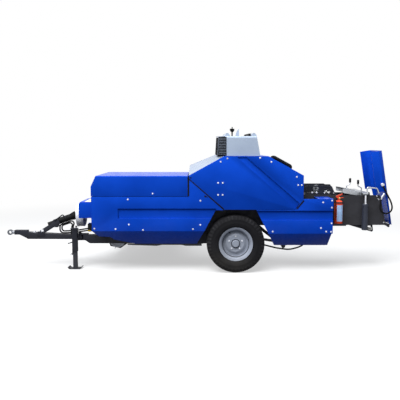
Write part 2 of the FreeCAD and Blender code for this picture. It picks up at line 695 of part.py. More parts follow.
def parked_hoses():
    """Two hoses that rise from a bracket, loop forward and end in their parked couplers."""
    hoses = []
    for index, (points, radii) in enumerate(HOSES):
        x = s.hose_x - s.hose_pitch * index
        y = s.hose_y + s.hose_pitch * index
        line = pipe(f"Hose{index}", s.hose_radius, points, radii, x, y, s.hose_foot)
        end_x, end_z = x + points[-1][0] - 2, s.hose_foot + points[-1][1]
        collar = rod(f"Collar{index}", "X", end_x, y, end_z, s.hose_radius * 1.45, s.coupler_length)
        tip = rod(f"Tip{index}", "X", end_x + s.coupler_length - 1, y, end_z, s.hose_radius * 0.7,
                  s.coupler_length / 2)
        hoses.append(fuse(f"HoseLine{index}", [line, collar, tip]))
    keep(compound("DrawbarHoses", hoses), "drawbar_hoses")


def drive_shaft():
    """Guarded drive shaft, lying on its prop, with the yoke for the tractor at its front."""
    run = (s.shaft_front_x - s.shaft_rear_x, s.shaft_front_y - s.shaft_rear_y,
           s.shaft_front_z - s.shaft_rear_z)
    direction = Vector(*[number_of(r) for r in run])
    length = root(run[0] * run[0] + run[1] * run[1] + run[2] * run[2])
    turn = Rotation(Vector(0, 0, 1), direction)
    body = new_body("DriveShaft")
    sketch = sketch_on(body, "Y", "ShaftSection")
    yoke_end = length + s.yoke_length
    outline(sketch, [
        (0, 0), (s.bell_radius, 0), (s.guard_radius, s.bell_length),
        (s.guard_radius, length - 50), (s.yoke_radius + 8, length - 10), (s.yoke_radius, length),
        (s.yoke_radius, yoke_end), (s.yoke_bore, yoke_end),
        (s.yoke_bore, yoke_end - s.yoke_bore_depth), (0, yoke_end - s.yoke_bore_depth)])
    feature = body.newObject("PartDesign::Revolution", "Turned")
    feature.Profile = sketch
    feature.ReferenceAxis = (sketch, ["V_Axis"])
    feature.Angle = 360
    body.Placement = Placement(Vector(), turn)
    keep(body, "drive_shaft", s.shaft_rear_x, s.shaft_rear_y, s.shaft_rear_z)


# ---------------------------------------------------------------- flywheel
def flywheel():
    """Flywheel with a front flange, belt grooves round its drum and holes through its web."""
    half = s.flywheel_width / 2
    web = s.flywheel_web / 2
    rim_in = s.flywheel_radius - s.flywheel_rim
    drum = s.flywheel_radius - 4
    body = turned("Flywheel", [
        (0, -half), (s.flywheel_hub, -half), (s.flywheel_hub, -web), (rim_in, -web),
        (rim_in, -half), (s.flywheel_radius, -half), (s.flywheel_radius, -half + 14),
        (drum, -half + 14), (drum, half), (rim_in, half), (rim_in, web), (s.flywheel_hub, web),
        (s.flywheel_hub, half), (s.flywheel_shaft, half),
        (s.flywheel_shaft, half + s.flywheel_reach), (0, half + s.flywheel_reach)])
    holes = sketch_on(body, "Y", "WebHoles", -web - 1)
    for index in range(5):
        angle = Size(72.0 * index, repr(72.0 * index))
        ring(holes, s.web_circle * cosine(angle), s.web_circle * sine(angle), s.web_hole)
    pocket(body, holes, "Y", s.flywheel_web + 2, "WebPocket")
    body.Placement = Placement(Vector(), Rotation(Vector(0, 0, 1), -90))
    keep(body, "flywheel", s.flywheel_front + half, s.flywheel_y, s.flywheel_z)


def flywheel_cover():
    body = plate("FlywheelCover", "Y", s.cover_left, s.cover_right - s.cover_left, [
        (s.cover_front, s.cover_low), (s.cover_rear, s.cover_low), (s.cover_rear, s.cover_top),
        (s.cover_front + s.cover_chamfer / 2, s.cover_top),
        (s.cover_front, s.cover_top - s.cover_chamfer / 2)])
    inside = sketch_on(body, "Y", "CoverInside", s.cover_left + s.cover_sheet)
    outline(inside, [
        (s.cover_front - 1, s.cover_low - 1), (s.cover_rear - s.cover_sheet, s.cover_low - 1),
        (s.cover_rear - s.cover_sheet, s.cover_top - s.cover_sheet),
        (s.cover_front + s.cover_chamfer / 2, s.cover_top - s.cover_sheet),
        (s.cover_front + s.cover_sheet, s.cover_top - s.cover_chamfer / 2),
        (s.cover_front + s.cover_sheet, s.flywheel_z + s.flywheel_radius + 20),
        (s.cover_front - 1, s.flywheel_z + s.flywheel_radius + 20)])
    pocket(body, inside, "Y", s.cover_right - s.cover_left - s.cover_sheet * 2)
    passage = rod("ShaftPassage", "X", s.cover_rear - s.cover_sheet - 1, s.flywheel_y, s.flywheel_z,
                  s.flywheel_shaft + 12, s.cover_sheet + 2)
    keep(cut("FlywheelCoverSheet", body, [passage]), "flywheel_cover")


def gearbox():
    """Main gearbox in front of the chamber, with its ribs, bearing housings and plunger crank."""
    front = s.gearbox_front + 60
    low = s.side_member_low + 10
    case = plate("GearCase", "Y", s.chamber_left + 90, s.case_width,
                 rounded(front, low, front + s.case_length, low + s.case_height, s.case_corner))
    middle_x = front + s.case_length / 2
    lid = plate("GearLid", "Y", s.chamber_left + 75, s.case_width + 30,
                rounded(front + 10, low + s.case_height / 2 - 12, front + s.case_length - 10,
                        low + s.case_height / 2 + 12, ZERO + 10))
    ribs = [plate(f"GearRib{index}", "X", front + s.case_length * part, ZERO + 12, [
        (s.chamber_left + 78, low), (s.chamber_left + s.case_width + 102, low),
        (s.chamber_left + s.case_width + 102, low + s.case_height - 60),
        (s.chamber_left + s.case_width + 80, low + s.case_height - 10),
        (s.chamber_left + 100, low + s.case_height - 10),
        (s.chamber_left + 78, low + s.case_height - 60)])
        for index, part in enumerate((0.16, 0.5, 0.84))]
    housing = rod("InputHousing", "X", s.gearbox_front + 20, s.flywheel_y, s.flywheel_z,
                  s.case_corner + 32, ZERO + 60)
    shaft = rod("CrankShaft", "Y", middle_x, s.chamber_left + 40, low + s.case_height - 110,
                ZERO + 34, s.case_width + 80)
    crank = plate("Crank", "Y", s.chamber_left + 30, ZERO + 26, [
        (middle_x - s.crank_web, low + s.case_height - 110),
        (middle_x, low + s.case_height - 110 - s.crank_web, s.crank_web),
        (middle_x + s.crank_web, low + s.case_height - 110, s.crank_web),
        (middle_x + s.crank_web * 0.6, low + s.case_height + 20),
        (middle_x, low + s.case_height + 20 + s.crank_web * 0.6, s.crank_web * 0.6),
        (middle_x - s.crank_web * 0.6, low + s.case_height + 20, s.crank_web * 0.6)])
    keep(fuse("Gearbox", [case, lid, housing, shaft, crank] + ribs), "gearbox")


def side_members():
    """Front side plates that carry the gearbox and tie the frame to the chamber."""
    members = [
        plate(f"Member{index}", "Y", station, s.chamber_plate, [
            (s.gearbox_front, s.side_member_low), (s.chamber_front - 1, s.side_member_low),
            (s.chamber_front - 1, s.chamber_top_z), (s.gearbox_front + 60, s.chamber_top_z - 60),
            (s.gearbox_front, s.chamber_top_z - 160)])
        for index, station in enumerate((s.chamber_left, s.chamber_right - s.chamber_plate))
    ]
    tie = box("FrontTie", s.gearbox_front, s.chamber_left, s.side_member_low,
              s.chamber_front - s.gearbox_front - 1, s.chamber_right - s.chamber_left,
              s.chamber_plate)
    keep(fuse("FrontFrame", members + [tie]), "front_frame")


# ---------------------------------------------------------------- jack
def jack():
    """Parking jack: a square tube on the drawbar's side with a telescoping leg and foot."""
    half = s.jack_tube / 2
    bore = half - s.jack_wall
    outer = plate("JackOuter", "Z", s.jack_low, s.jack_top - s.jack_low, rounded(
        s.jack_x - half, s.jack_y - half, s.jack_x + half, s.jack_y + half, s.jack_corner))
    inside = sketch_on(outer, "Z", "JackBore", s.jack_low - 1)
    outline(inside, rounded(s.jack_x - bore, s.jack_y - bore, s.jack_x + bore, s.jack_y + bore,
                            s.jack_corner / 2))
    pocket(outer, inside, "Z", s.jack_top - s.jack_low - s.jack_cap + 1)
    cap = rod("JackCap", "Z", s.jack_x, s.jack_y, s.jack_top - 1, s.jack_cap_radius, s.jack_cap)
    stem = rod("JackStem", "Z", s.jack_x + 20, s.jack_y, s.jack_top + s.jack_cap - 2, ZERO + 5,
               ZERO + 30)
    knob = rod("JackKnob", "Z", s.jack_x + 20, s.jack_y, s.jack_top + s.jack_cap + 14, ZERO + 13,
               ZERO + 18)
    clamp = box("JackClamp", s.jack_x - 48, s.jack_y + half - 1, s.bar_low_rear + 4, ZERO + 96,
                s.beam_left - s.jack_y - half + 1, ZERO + 46)
    lever = pipe("JackLever", ZERO + 7, [(0, 0), (-30, -14), (-64, -22)], [40],
                 s.jack_x - half + 1, s.jack_y, s.jack_low + 128)
    lug = box("PinLug", s.jack_x - half - 5, s.jack_y - 12, s.pin_z - 14, ZERO + 6, ZERO + 24,
              s.jack_low - s.pin_z + 50)
    pin = rod("LockPin", "X", s.jack_x - half - 14, s.jack_y, s.pin_z, ZERO + 9, ZERO + 17)
    keep(fuse("JackTube", [outer, cap, stem, knob, clamp, lever, lug, pin]), "jack_tube")

    leg_half = s.jack_leg / 2
    leg = plate("Leg", "Z", s.foot_plate - 1, s.leg_top - s.foot_plate, rounded(
        s.jack_x - leg_half, s.jack_y - leg_half, s.jack_x + leg_half, s.jack_y + leg_half,
        s.jack_corner / 2))
    half_foot = s.foot_length / 2
    foot = plate("Foot", "Y", s.jack_y - s.foot_width / 2, s.foot_width, [
        (s.jack_x - half_foot + 28, 0, s.foot_bend), (s.jack_x + half_foot - 28, 0),
        (s.jack_x + half_foot, s.foot_lip, s.foot_bend),
        (s.jack_x + half_foot - 6, s.foot_lip + 5),
        (s.jack_x + half_foot - 32, s.foot_plate, -s.foot_bend),
        (s.jack_x - half_foot + 32, s.foot_plate),
        (s.jack_x - half_foot + 6, s.foot_lip + 5, -s.foot_bend),
        (s.jack_x - half_foot, s.foot_lip)])
    keep(fuse("JackLeg", [leg, foot]), "jack_leg")


# ---------------------------------------------------------------- covers
def hood():
    """Lifting hood over the gearbox and plunger drive, hinged along its right edge."""
    low = s.hood_seam + s.hood_gap / 2
    body = plate("Hood", "Y", s.cover_face, s.hood_right - s.cover_face, [
        (s.hood_front, low), (s.hood_rear, low), (s.hood_rear, s.hood_top),
        (s.hood_brow, s.hood_top), (s.hood_front, s.hood_cheek)])
    top = s.hood_top.number
    length = s.hood_rear.number - s.hood_brow.number
    fillet(body, s.hood_round, lambda b: b.ZMin > top - 1 and b.XLength > length - 1)
    thin(body, s.panel_sheet, lambda b: b.ZMax < low.number + 1)
    knuckles = [plate(f"HoodKnuckle{index}", "X", x + s.knuckle + 2, s.pin_length - s.knuckle * 2 - 4, [
        (s.hinge_y, s.hinge_z - s.hinge_eye), (s.hinge_y + s.hinge_eye, s.hinge_z, s.hinge_eye),
        (s.hinge_y, s.hinge_z + s.hinge_eye, s.hinge_eye),
        (s.hood_right + 6, s.hinge_z + 50), (s.hood_right - 1, s.hinge_z + 50),
        (s.hood_right - 1, s.hinge_z + 14), (s.hinge_y - s.hinge_eye, s.hinge_z)],
        holes=[(s.hinge_y, s.hinge_z, s.hinge_pin + 0.3)])
        for index, x in enumerate((s.front_hinge, s.rear_hinge))]
    keep(fuse("HoodSolid", [body] + knuckles), "hood")


def skirt_section(name, front, rear, top, bevel, low):
    """Side panel whose lower edge is folded in under the machine, extruded lengthwise."""
    g = s.panel_sheet
    face = s.cover_face
    return plate(name, "X", front, rear - front, [
        (face, top), (face, bevel), (face + s.skirt_inset, low),
        (face + s.skirt_inset + g, low + 2), (face + g, bevel + 1), (face + g, top)])


def recess(body, name, corners, inner):
    """Press a shallow recess into a side panel: a backing behind it, then its opening."""
    backing = sketch_on(body, "Y", name + "Back", s.cover_face)
    outline(backing, corners)
    pad(body, backing, "Y", s.band_depth + s.panel_sheet, name + "Backing")
    opening = sketch_on(body, "Y", name + "Opening", s.cover_face - 1)
    outline(opening, inner)
    pocket(body, opening, "Y", s.band_depth + 1, name + "Pocket")


def band(body, front, rear, low, top):
    """A recessed band along a side panel, open at both ends."""
    g = s.panel_sheet
    recess(body, "Band", [(front, low), (rear, low), (rear, top), (front, top)],
           [(front - 1, low + g), (rear + 1, low + g), (rear + 1, top - g), (front - 1, top - g)])


def front_skirt():
    """Front side panel, with a crest behind the hood that ends along the tall panel's seam."""
    face, g = s.cover_face, s.panel_sheet
    body = skirt_section("FrontSkirt", s.skirt_front, s.arch_top_front + 1,
                         s.hood_seam - s.hood_gap / 2, s.skirt_bevel, s.skirt_low)
    crest = sketch_on(body, "Y", "Crest", face)
    outline(crest, [(s.crest_front, s.arch_top), (s.crest_rear, s.arch_top),
                    (s.crest_front, s.crest_top)])
    pad(body, crest, "Y", g, "CrestPad")
    seam = sketch_on(body, "Y", "Seam", face - 1)
    outline(seam, [(s.crest_front, s.crest_top), (s.crest_rear, s.arch_top),
                   (s.crest_rear + 20, s.arch_top), (s.crest_rear + 20, s.crest_top)])
    pocket(body, seam, "Y", g + 2, "SeamPocket")
    band(body, s.band_front, s.arch_top_front - s.band_inset, s.band_low, s.band_top)
    nose = sketch_on(body, "Y", "NoseCut", ZERO)
    outline(nose, [(s.skirt_front - 1, s.skirt_low - 10), (s.skirt_toe, s.skirt_low - 10),
                   (s.skirt_toe, s.skirt_low), (s.nose_knee_x, s.nose_knee_z),
                   (s.nose_flat_x, s.nose_flat_z), (s.nose_front_x, s.nose_front_z),
                   (s.skirt_nose_x, s.skirt_nose_z), (s.skirt_front - 1, s.skirt_bevel)])
    pocket(body, nose, "Y", s.skirt_inset + 60, "NosePocket")
    arch = sketch_on(body, "Y", "ArchCut", ZERO)
    outline(arch, [(s.arch_low_front, s.skirt_low - 10), (s.arch_top_rear, s.skirt_low - 10),
                   (s.arch_top_rear, s.arch_top), (s.arch_top_front, s.arch_top)])
    pocket(body, arch, "Y", s.skirt_inset + 60, "ArchPocket")
    keep(body, "front_skirt")


def rear_skirt():
    body = skirt_section("RearSkirt", s.arch_top_rear, s.rear_skirt_end, s.rear_skirt_top,
                         s.rear_skirt_bevel, s.rear_skirt_low)
    band(body, s.arch_top_rear, s.rear_skirt_end, s.rear_band_low, s.rear_band_top)
    arch = sketch_on(body, "Y", "ArchCut", ZERO)
    outline(arch, [(s.arch_top_rear - 1, s.rear_skirt_low - 10),
                   (s.arch_low_rear, s.rear_skirt_low - 10), (s.arch_low_rear, s.arch_low_z),
                   (s.arch_top_rear, s.arch_top), (s.arch_top_rear - 1, s.arch_top)])
    pocket(body, arch, "Y", s.skirt_inset + 60, "ArchPocket")
    tail = sketch_on(body, "Y", "TailCut", ZERO)
    outline(tail, [(s.rear_low_x, s.rear_skirt_low - 10),
                   (s.rear_skirt_end + 1, s.rear_skirt_low - 10),
                   (s.rear_skirt_end + 1, s.rear_skirt_bevel),
                   (s.rear_low_x + 30, s.rear_skirt_bevel)])
    pocket(body, tail, "Y", s.skirt_inset + 60, "TailPocket")
    crest = sketch_on(body, "Y", "CrestCut", ZERO)
    outline(crest, [(s.arch_top_rear - 1, s.tall_low - 4), (s.tall_toe + 2, s.tall_low - 4),
                    (s.tall_rear + 4, s.tall_rear_low - 3),
                    (s.tall_rear + 4, s.rear_skirt_top + 1),
                    (s.arch_top_rear - 1, s.rear_skirt_top + 1)])
    pocket(body, crest, "Y", s.skirt_inset, "CrestPocket")
    keep(body, "rear_skirt")


def tall_panel(label, name, face, inward, front, front_z, shoulder):
    """Tall side panel with a diagonal pressed groove; inward is +1 on the left, -1 on the right."""
    g = s.panel_sheet
    depth = s.groove_depth + g
    start = face if inward > 0 else face - g
    body = plate(name, "Y", start, g, [
        (front, front_z), (shoulder, s.tall_top), (s.tall_top_rear, s.tall_top),
        (s.tall_rear, s.tall_rear_z), (s.tall_rear, s.tall_rear_low), (s.tall_toe, s.tall_low),
        (s.tall_low_front, s.tall_low), (s.tall_front, s.tall_notch_z)])
    backing = sketch_on(body, "Y", "GrooveBack", face if inward > 0 else face - depth)
    top = s.tall_top - 12
    outline(backing, [(s.groove_front, top), (s.groove_foot, s.tall_low + 8),
                      (s.groove_foot + s.groove_toe, s.tall_low + s.groove_rise),
                      (s.groove_front + s.groove_width, top)])
    pad(body, backing, "Y", depth, "GrooveBacking")
    opening = sketch_on(body, "Y", "GrooveOpening", face - 1 if inward > 0 else face - s.groove_depth)
    outline(opening, [(s.groove_front + g, top), (s.groove_foot + g, s.tall_low + 7),
                      (s.groove_foot + s.groove_toe + 2, s.tall_low + s.groove_rise - g),
                      (s.groove_front + s.groove_width - g, top)])
    pocket(body, opening, "Y", s.groove_depth + 1, "GroovePocket")
    keep(body, label)


def slope_covers():
    """Sheets that close the top of the tall housing; the front one is higher along its far side."""
    t = s.slope_thickness
    front = loft("FrontSlope", s.slope_near, [
        (s.tall_front, s.tall_front_z), (s.tall_front + 2, s.tall_front_z - t),
        (s.tall_shoulder, s.tall_top - t), (s.tall_shoulder, s.tall_top)], s.slope_far, [
        (s.far_front, s.far_front_z), (s.far_front + 2, s.far_front_z - t),
        (s.far_shoulder, s.tall_top - t), (s.far_shoulder, s.tall_top)])
    riser = plate("SlopeRiser", "X", s.tall_front + 1, t, [
        (s.slope_near, s.riser_low), (s.slope_far, s.riser_low),
        (s.slope_far, s.far_front_z - t), (s.slope_near, s.tall_front_z - t + 1)])
    keep(fuse("FrontSlopeSolid", [front, riser]), "front_slope_cover")
    keep(plate("RearSlope", "Y", s.slope_near, s.slope_far - s.slope_near, [
        (s.tall_top_rear, s.tall_top), (s.tall_top_rear, s.tall_top - t),
        (s.tall_rear, s.tall_rear_z - t), (s.tall_rear, s.tall_rear_z)]), "rear_slope_cover")
    keep(plate("TopDeck", "Z", s.tall_top - t, t, [
        (s.tall_shoulder + 1, s.slope_near), (s.tall_top_rear - 1, s.slope_near),
        (s.tall_top_rear - 1, s.slope_far), (s.far_shoulder + 1, s.slope_far)]), "top_deck")
    fall = math.atan2(s.tall_top.number - s.tall_rear_z.number,
                      s.tall_rear.number - s.tall_top_rear.number)
    up_x, up_z = math.sin(fall), math.cos(fall)
    lift, reach = s.slope_lift.number, s.slope_reach.number
    line = [(0, 0), (lift * up_x, lift * up_z),
            (lift * up_x + reach * up_z, lift * up_z - reach * up_x),
            (reach * up_z, -reach * up_x)]
    start_x = s.slope_start.number * up_z
    start_z = s.slope_start.number * up_x
    tubes = [pipe(f"SlopeTube{index}", s.slope_tube, line, [lift * 0.96] * 2,
                  s.tall_top_rear + start_x, s.slope_near + y, s.tall_top - start_z)
             for index, y in enumerate((s.slope_first_y, s.slope_first_y + s.slope_pitch))]
    keep(compound("SlopeTubes", tubes), "slope_hoses")


def cowl():
    """Air cowl on top of the housing, with a bowed louvre grille, two hoops and a wind fin."""
    low, top = s.cowl_low.number, s.cowl_top.number
    front = s.cowl_front.number
    body = plate("Cowl", "Y", s.cowl_near, s.cowl_far - s.cowl_near, [
        (s.cowl_front, s.cowl_low + 1), (s.cowl_rear_low, s.cowl_low + 1),
        (s.cowl_rear, s.cowl_top), (s.cowl_front, s.cowl_top)])
    fillet(body, s.cowl_round, lambda b: b.ZMin > top - 1 and b.XLength > 100)
    thin(body, s.cowl_sheet, lambda b: b.ZMax < low + 5 or b.XMax < front + 1)
    width = s.cowl_far - s.cowl_near - s.cowl_round * 3
    hoops = [plate(f"Hoop{index}", "Y", s.cowl_near + s.cowl_round * 1.5, width, [
        (x, s.cowl_top - 2), (x + s.hoop_width, s.cowl_top - 2),
        (x + s.hoop_width * 0.62, s.cowl_top + s.hoop_rise, s.hoop_width),
        (x + s.hoop_width * 0.3, s.cowl_top + s.hoop_rise, s.hoop_width)])
        for index, x in enumerate((s.cowl_front, s.cowl_rear - s.hoop_width + 4))]
    fin = plate("WindFin", "Y", s.finial_y - 3, ZERO + 6, [
        (s.fin_x, s.cowl_top - 1, s.fin_height * 1.4), (s.fin_x + s.fin_width, s.cowl_top - 1),
        (s.fin_x + s.fin_width * 0.9, s.cowl_top + s.fin_height)])
    g_in = s.cowl_near + s.cowl_sheet + 1
    g_out = s.cowl_far - s.cowl_sheet - 1
    chord = g_out - g_in
    bow = (chord * chord / 4 + s.cowl_bow * s.cowl_bow) / (s.cowl_bow * 2)
    visor = plate("Visor", "Z", s.cowl_top - s.cowl_sheet, s.cowl_sheet, [
        (s.cowl_front + 4, g_in), (s.cowl_front + 4, g_out), (s.cowl_front - 6, g_out),
        (s.cowl_front - 6, g_in, bow)])
    keep(fuse("CowlSolid", [body, fin, visor] + hoops), "top_cowl")

    louvres = []
    count = 11
    pitch = (s.cowl_top - s.cowl_low - s.cowl_round - 4) / count
    for index in range(count):
        louvres.append(plate(f"Louvre{index}", "Z", s.cowl_low + 2 + pitch * index, pitch * 0.42, [
            (s.cowl_front + 10, g_in), (s.cowl_front + 10, g_out), (s.cowl_front - 4, g_out),
            (s.cowl_front - 4, g_in, bow)]))
    backing = plate("LouvreBack", "Z", s.cowl_low + 2, pitch * count, [
        (s.cowl_front + 10, g_in), (s.cowl_front + 10, g_out), (s.cowl_front + 4, g_out),
        (s.cowl_front + 4, g_in, bow * 1.15)])
    keep(fuse("Grille", louvres + [backing]), "cowl_grille")

    stem = rod("FinialStem", "Z", s.finial_x, s.finial_y, s.cowl_top, s.finial_radius,
               ZERO + 62)
    cup = turned("FinialCup", [
        (0, 0), (s.finial_radius + 4, 0), (s.finial_radius + 22, 26, 40),
        (s.finial_radius + 22, 44), (s.finial_radius + 8, 36), (0, 36)])
    cup.Placement = Placement(Vector(), Rotation(Vector(1, 0, 0), 90))
    put_place(cup, s.finial_x, s.finial_y, s.cowl_top + 60)
    knob = rod("FinialKnob", "Z", s.finial_x, s.finial_y, s.cowl_top + 90, s.finial_radius * 0.8,
               s.finial_top - s.cowl_top - 90)
    finial = fuse("Finial", [stem, cup, knob])
    flap_rear = s.cowl_rear - s.hoop_width - 2
    flap = plate("VentFlap", "Y", s.cowl_near + s.cowl_round * 1.5 + 30, width - 60, [
        (s.flap_front, s.cowl_top), (flap_rear, s.cowl_top),
        (flap_rear, s.cowl_top + s.hoop_rise - 4), (flap_rear - 14, s.cowl_top + s.hoop_rise - 4)])
    keep(compound("IntakeAndFlap", [finial, flap]), "intake_cap")


def body_sheets():
    """Front panel behind the flywheel, and the shelf that carries the hood's hinges."""
    front = plate("FrontPanel", "X", s.cover_rear, s.panel_sheet, [
        (s.cover_face + s.panel_sheet + 1, s.skirt_bevel), (s.chamber_right, s.skirt_bevel),
        (s.chamber_right, s.hood_seam - 4), (s.cover_face + s.panel_sheet + 1, s.hood_seam - 4)],
        holes=[(s.flywheel_y, s.flywheel_z, s.flywheel_shaft + 30)])
    stop = rod("DoorStop", "X", s.cover_rear - s.stop_reach, s.stop_y, s.stop_z, s.stop_radius,
               s.stop_reach + 1)
    keep(fuse("FrontPanelSolid", [front, stop]), "front_panel")
    g = s.panel_sheet
    top = s.hood_seam - 4
    edge = s.hood_right - 5
    shelf = plate("Shelf", "X", s.gearbox_front, s.tall_front - s.gearbox_front - 10, [
        (s.chamber_right + 1, top - g), (edge - g, top - g), (edge - g, top - s.shelf_lip),
        (edge, top - s.shelf_lip), (edge, top), (s.chamber_right + 1, top)])
    hinges = []
    for index, x in enumerate((s.front_hinge, s.rear_hinge)):
        hinges.append(rod(f"HoodPin{index}", "X", x, s.hinge_y, s.hinge_z, s.hinge_pin,
                          s.pin_length))
        for side, start in enumerate((x, x + s.pin_length - s.knuckle)):
            hinges.append(plate(f"HoodLug{index}x{side}", "X", start, s.knuckle, [
                (edge - 14, top), (edge - 14, top - 14), (s.hinge_y, s.hinge_z - s.hinge_eye),
                (s.hinge_y + s.hinge_eye, s.hinge_z, s.hinge_eye),
                (s.hinge_y, s.hinge_z + s.hinge_eye, s.hinge_eye), (edge + 6, top - 1)]))
    keep(fuse("ShelfSolid", [shelf] + hinges), "right_shelf")


def arch_liner():
    """Liner behind the left wheel, rounded over the tyre."""
    liner = plate("Liner", "Y", s.tyre_width + 22, s.panel_sheet, [
        (s.liner_front, s.frame_low + 10), (s.liner_front + 130, s.frame_low + 10),
        (s.liner_front + 160, s.liner_low), (s.liner_rear, s.liner_low),
        (s.liner_rear - 50, s.arch_top), (s.liner_front + 160, s.arch_top),
        (s.liner_front, s.arch_top - 136, s.liner_front_arc)])
    keep(liner, "wheel_arch_liner")


# ---------------------------------------------------------------- needles and knotter
def needle_yoke():
    """Yoke that hangs from the chamber's walls, with the two curved needles it swings through."""
    middle = (s.chamber_left + s.chamber_right) / 2
    home = s.needle_home
    foot = home + s.needle_span

    def polar(radius, angle):
        return s.yoke_x + radius * cosine(angle), s.yoke_z - radius * sine(angle)

    foot_x, foot_z = polar(s.needle_radius, foot)
    left_y = s.chamber_left - s.arm_clearance - s.arm_plate
    right_y = s.chamber_right + s.arm_clearance
    head = s.pivot_radius + 16
    arms = [
        plate(f"Arm{index}", "Y", station, s.arm_plate, [
            (s.yoke_x + head, s.yoke_z, -s.arm_sweep), (s.yoke_x, s.yoke_z + head, head),
            (s.yoke_x - head, s.yoke_z, head), (foot_x - s.needle_eye, foot_z, -s.arm_sweep),
            (foot_x, foot_z - s.needle_eye, s.needle_eye),
            (foot_x + s.needle_eye, foot_z, s.needle_eye)],
            holes=[(s.yoke_x, s.yoke_z, s.pivot_radius + 0.5)])
        for index, station in enumerate((left_y, right_y))
    ]
    tube = rod("YokeTube", "Y", foot_x, left_y, foot_z, s.yoke_tube,
               right_y + s.arm_plate - left_y)
    keep(fuse("NeedleYoke", arms + [tube]), "needle_yoke")

    needles = []
    tip_half = s.needle_depth / 6
    for index, y in enumerate((middle - s.needle_pitch / 2, middle + s.needle_pitch / 2)):
        root_in = polar(s.needle_radius - s.needle_eye, foot)
        root_out = polar(s.needle_radius + s.needle_eye, foot)
        tip_in = polar(s.needle_radius - tip_half, home)
        tip_out = polar(s.needle_radius + tip_half, home + 1.5)
        eye = polar(s.needle_radius, home + 3.5)
        needles.append(plate(f"Needle{index}", "Y", y - s.needle_width / 2, s.needle_width, [
            (*root_in, -s.needle_eye), (*tip_in, s.needle_radius), tip_out,
            (*root_out, -s.needle_radius)],
            holes=[(foot_x, foot_z, s.yoke_tube), (*eye, s.twine_eye)]))
    keep(compound("NeedlePair", needles), "needles")


GUARD_BOW = [(0, 0), (558, -141), (741, -166), (901, -123), (1081, 27)]


def needle_guard():
    """Stop that the yoke parks against, and the bow that guards the needles from below."""
    middle = (s.chamber_left + s.chamber_right) / 2
    axle_rear = s.axle_beam / 2
    floor = s.chamber_floor_z
    stop = plate("YokeStop", "Y", middle - s.strut_width / 2, s.strut_width, [
        (axle_rear, s.strut_low), (s.stop_tip_x, s.stop_tip_z - s.stop_tip),
        (s.stop_tip_x + s.stop_tip, s.stop_tip_z, s.stop_tip),
        (s.stop_tip_x, s.stop_tip_z + s.stop_tip, s.stop_tip), (s.strut_top_x + 80, floor),
        (s.strut_top_x, floor), (s.stop_tip_x - 64, s.stop_tip_z + 26),
        (axle_rear, s.strut_low + 33)])
    rise = floor.number - s.bow_z.number
    bow = pipe("NeedleBow", s.bow_radius, GUARD_BOW + [(1081, rise)], [400, 300, 260, 110],
               axle_rear + s.bow_radius / 4, middle, s.bow_z)
    keep(compound("NeedleGuard", [stop, bow]), "needle_guard")


def put_place(piece, x, y, z):
    bind(piece, Placement__Base__x=x, Placement__Base__y=y, Placement__Base__z=z)


def compound(name, parts):
    piece = doc.addObject("Part::Compound", name)
    piece.Links = parts
    return piece


def yoke_pivots():
    """Pins on the chamber's walls that the needle yoke hangs from."""
    pins = [
        rod("LeftPivot", "Y", s.yoke_x, s.chamber_left - s.arm_clearance - s.arm_plate - 8, s.yoke_z,
            s.pivot_radius, s.arm_clearance + s.arm_plate + 8),
        rod("RightPivot", "Y", s.yoke_x, s.chamber_right, s.yoke_z, s.pivot_radius,
            s.arm_clearance + s.arm_plate + 8),
    ]
    keep(compound("YokePivots", pins), "yoke_pivots")


def knotter():
    """Knotter frame on the chamber's roof, and one knotter in line with each needle."""
    base_z = s.chamber_top_z + s.chamber_plate
    front, rear, top = s.knotter_front, s.knotter_rear, s.knotter_top
    shaft_x, shaft_z = s.knotter_shaft_x, s.knotter_shaft_z
    left_y, right_y = s.chamber_left + 20, s.chamber_right - 20 - s.knotter_plate
    sides = []
    for index, y in enumerate((left_y, right_y)):
        body = plate(f"KnotterSide{index}", "Y", y, s.knotter_plate, [
            (front, base_z), (rear, base_z), (rear, base_z + 22), (rear - 34, top - 30),
            (rear - 60, top, 40), (front + 24, top), (front, top - 24, 24)])
        window = sketch_on(body, "Y", f"KnotterWindow{index}", y - 1)
        outline(window, rounded(front + 16, base_z + 22, shaft_x - 42, top - 16, ZERO + 10))
        outline(window, rounded(shaft_x + 42, base_z + 22, rear - 66, top - 16, ZERO + 10))
        pocket(body, window, "Y", s.knotter_plate + 2)
        sides.append(body)
    shaft = rod("KnotterShaft", "Y", shaft_x, left_y, shaft_z, s.knotter_shaft,
                right_y + s.knotter_plate - left_y)
    tie = rod("KnotterTie", "Y", rear - 46, left_y, base_z + 40, ZERO + 9,
              right_y + s.knotter_plate - left_y)
    keep(fuse("KnotterFrame", sides + [shaft, tie]), "knotter_frame")
    middle = (s.chamber_left + s.chamber_right) / 2
    units = []
    for index, y in enumerate((middle - s.needle_pitch / 2, middle + s.needle_pitch / 2)):
        units += knotter_unit(index, shaft_x, y, shaft_z, base_z)
    keep(compound("KnotterUnits", units), "knotters")


def toothed(name, way, start, width, u, v, inner, outer, count, bore):
    """A toothed disc: a star of teeth round a bore."""
    corners = []
    for index in range(count):
        for part, radius in ((0.0, inner), (0.22, outer), (0.5, outer), (0.72, inner)):
            turn = 360.0 * (index + part) / count
            angle = Size(turn, repr(turn))
            corners.append((u + radius * cosine(angle), v + radius * sine(angle)))
    return plate(name, way, start, width, corners, holes=[(u, v, bore)])


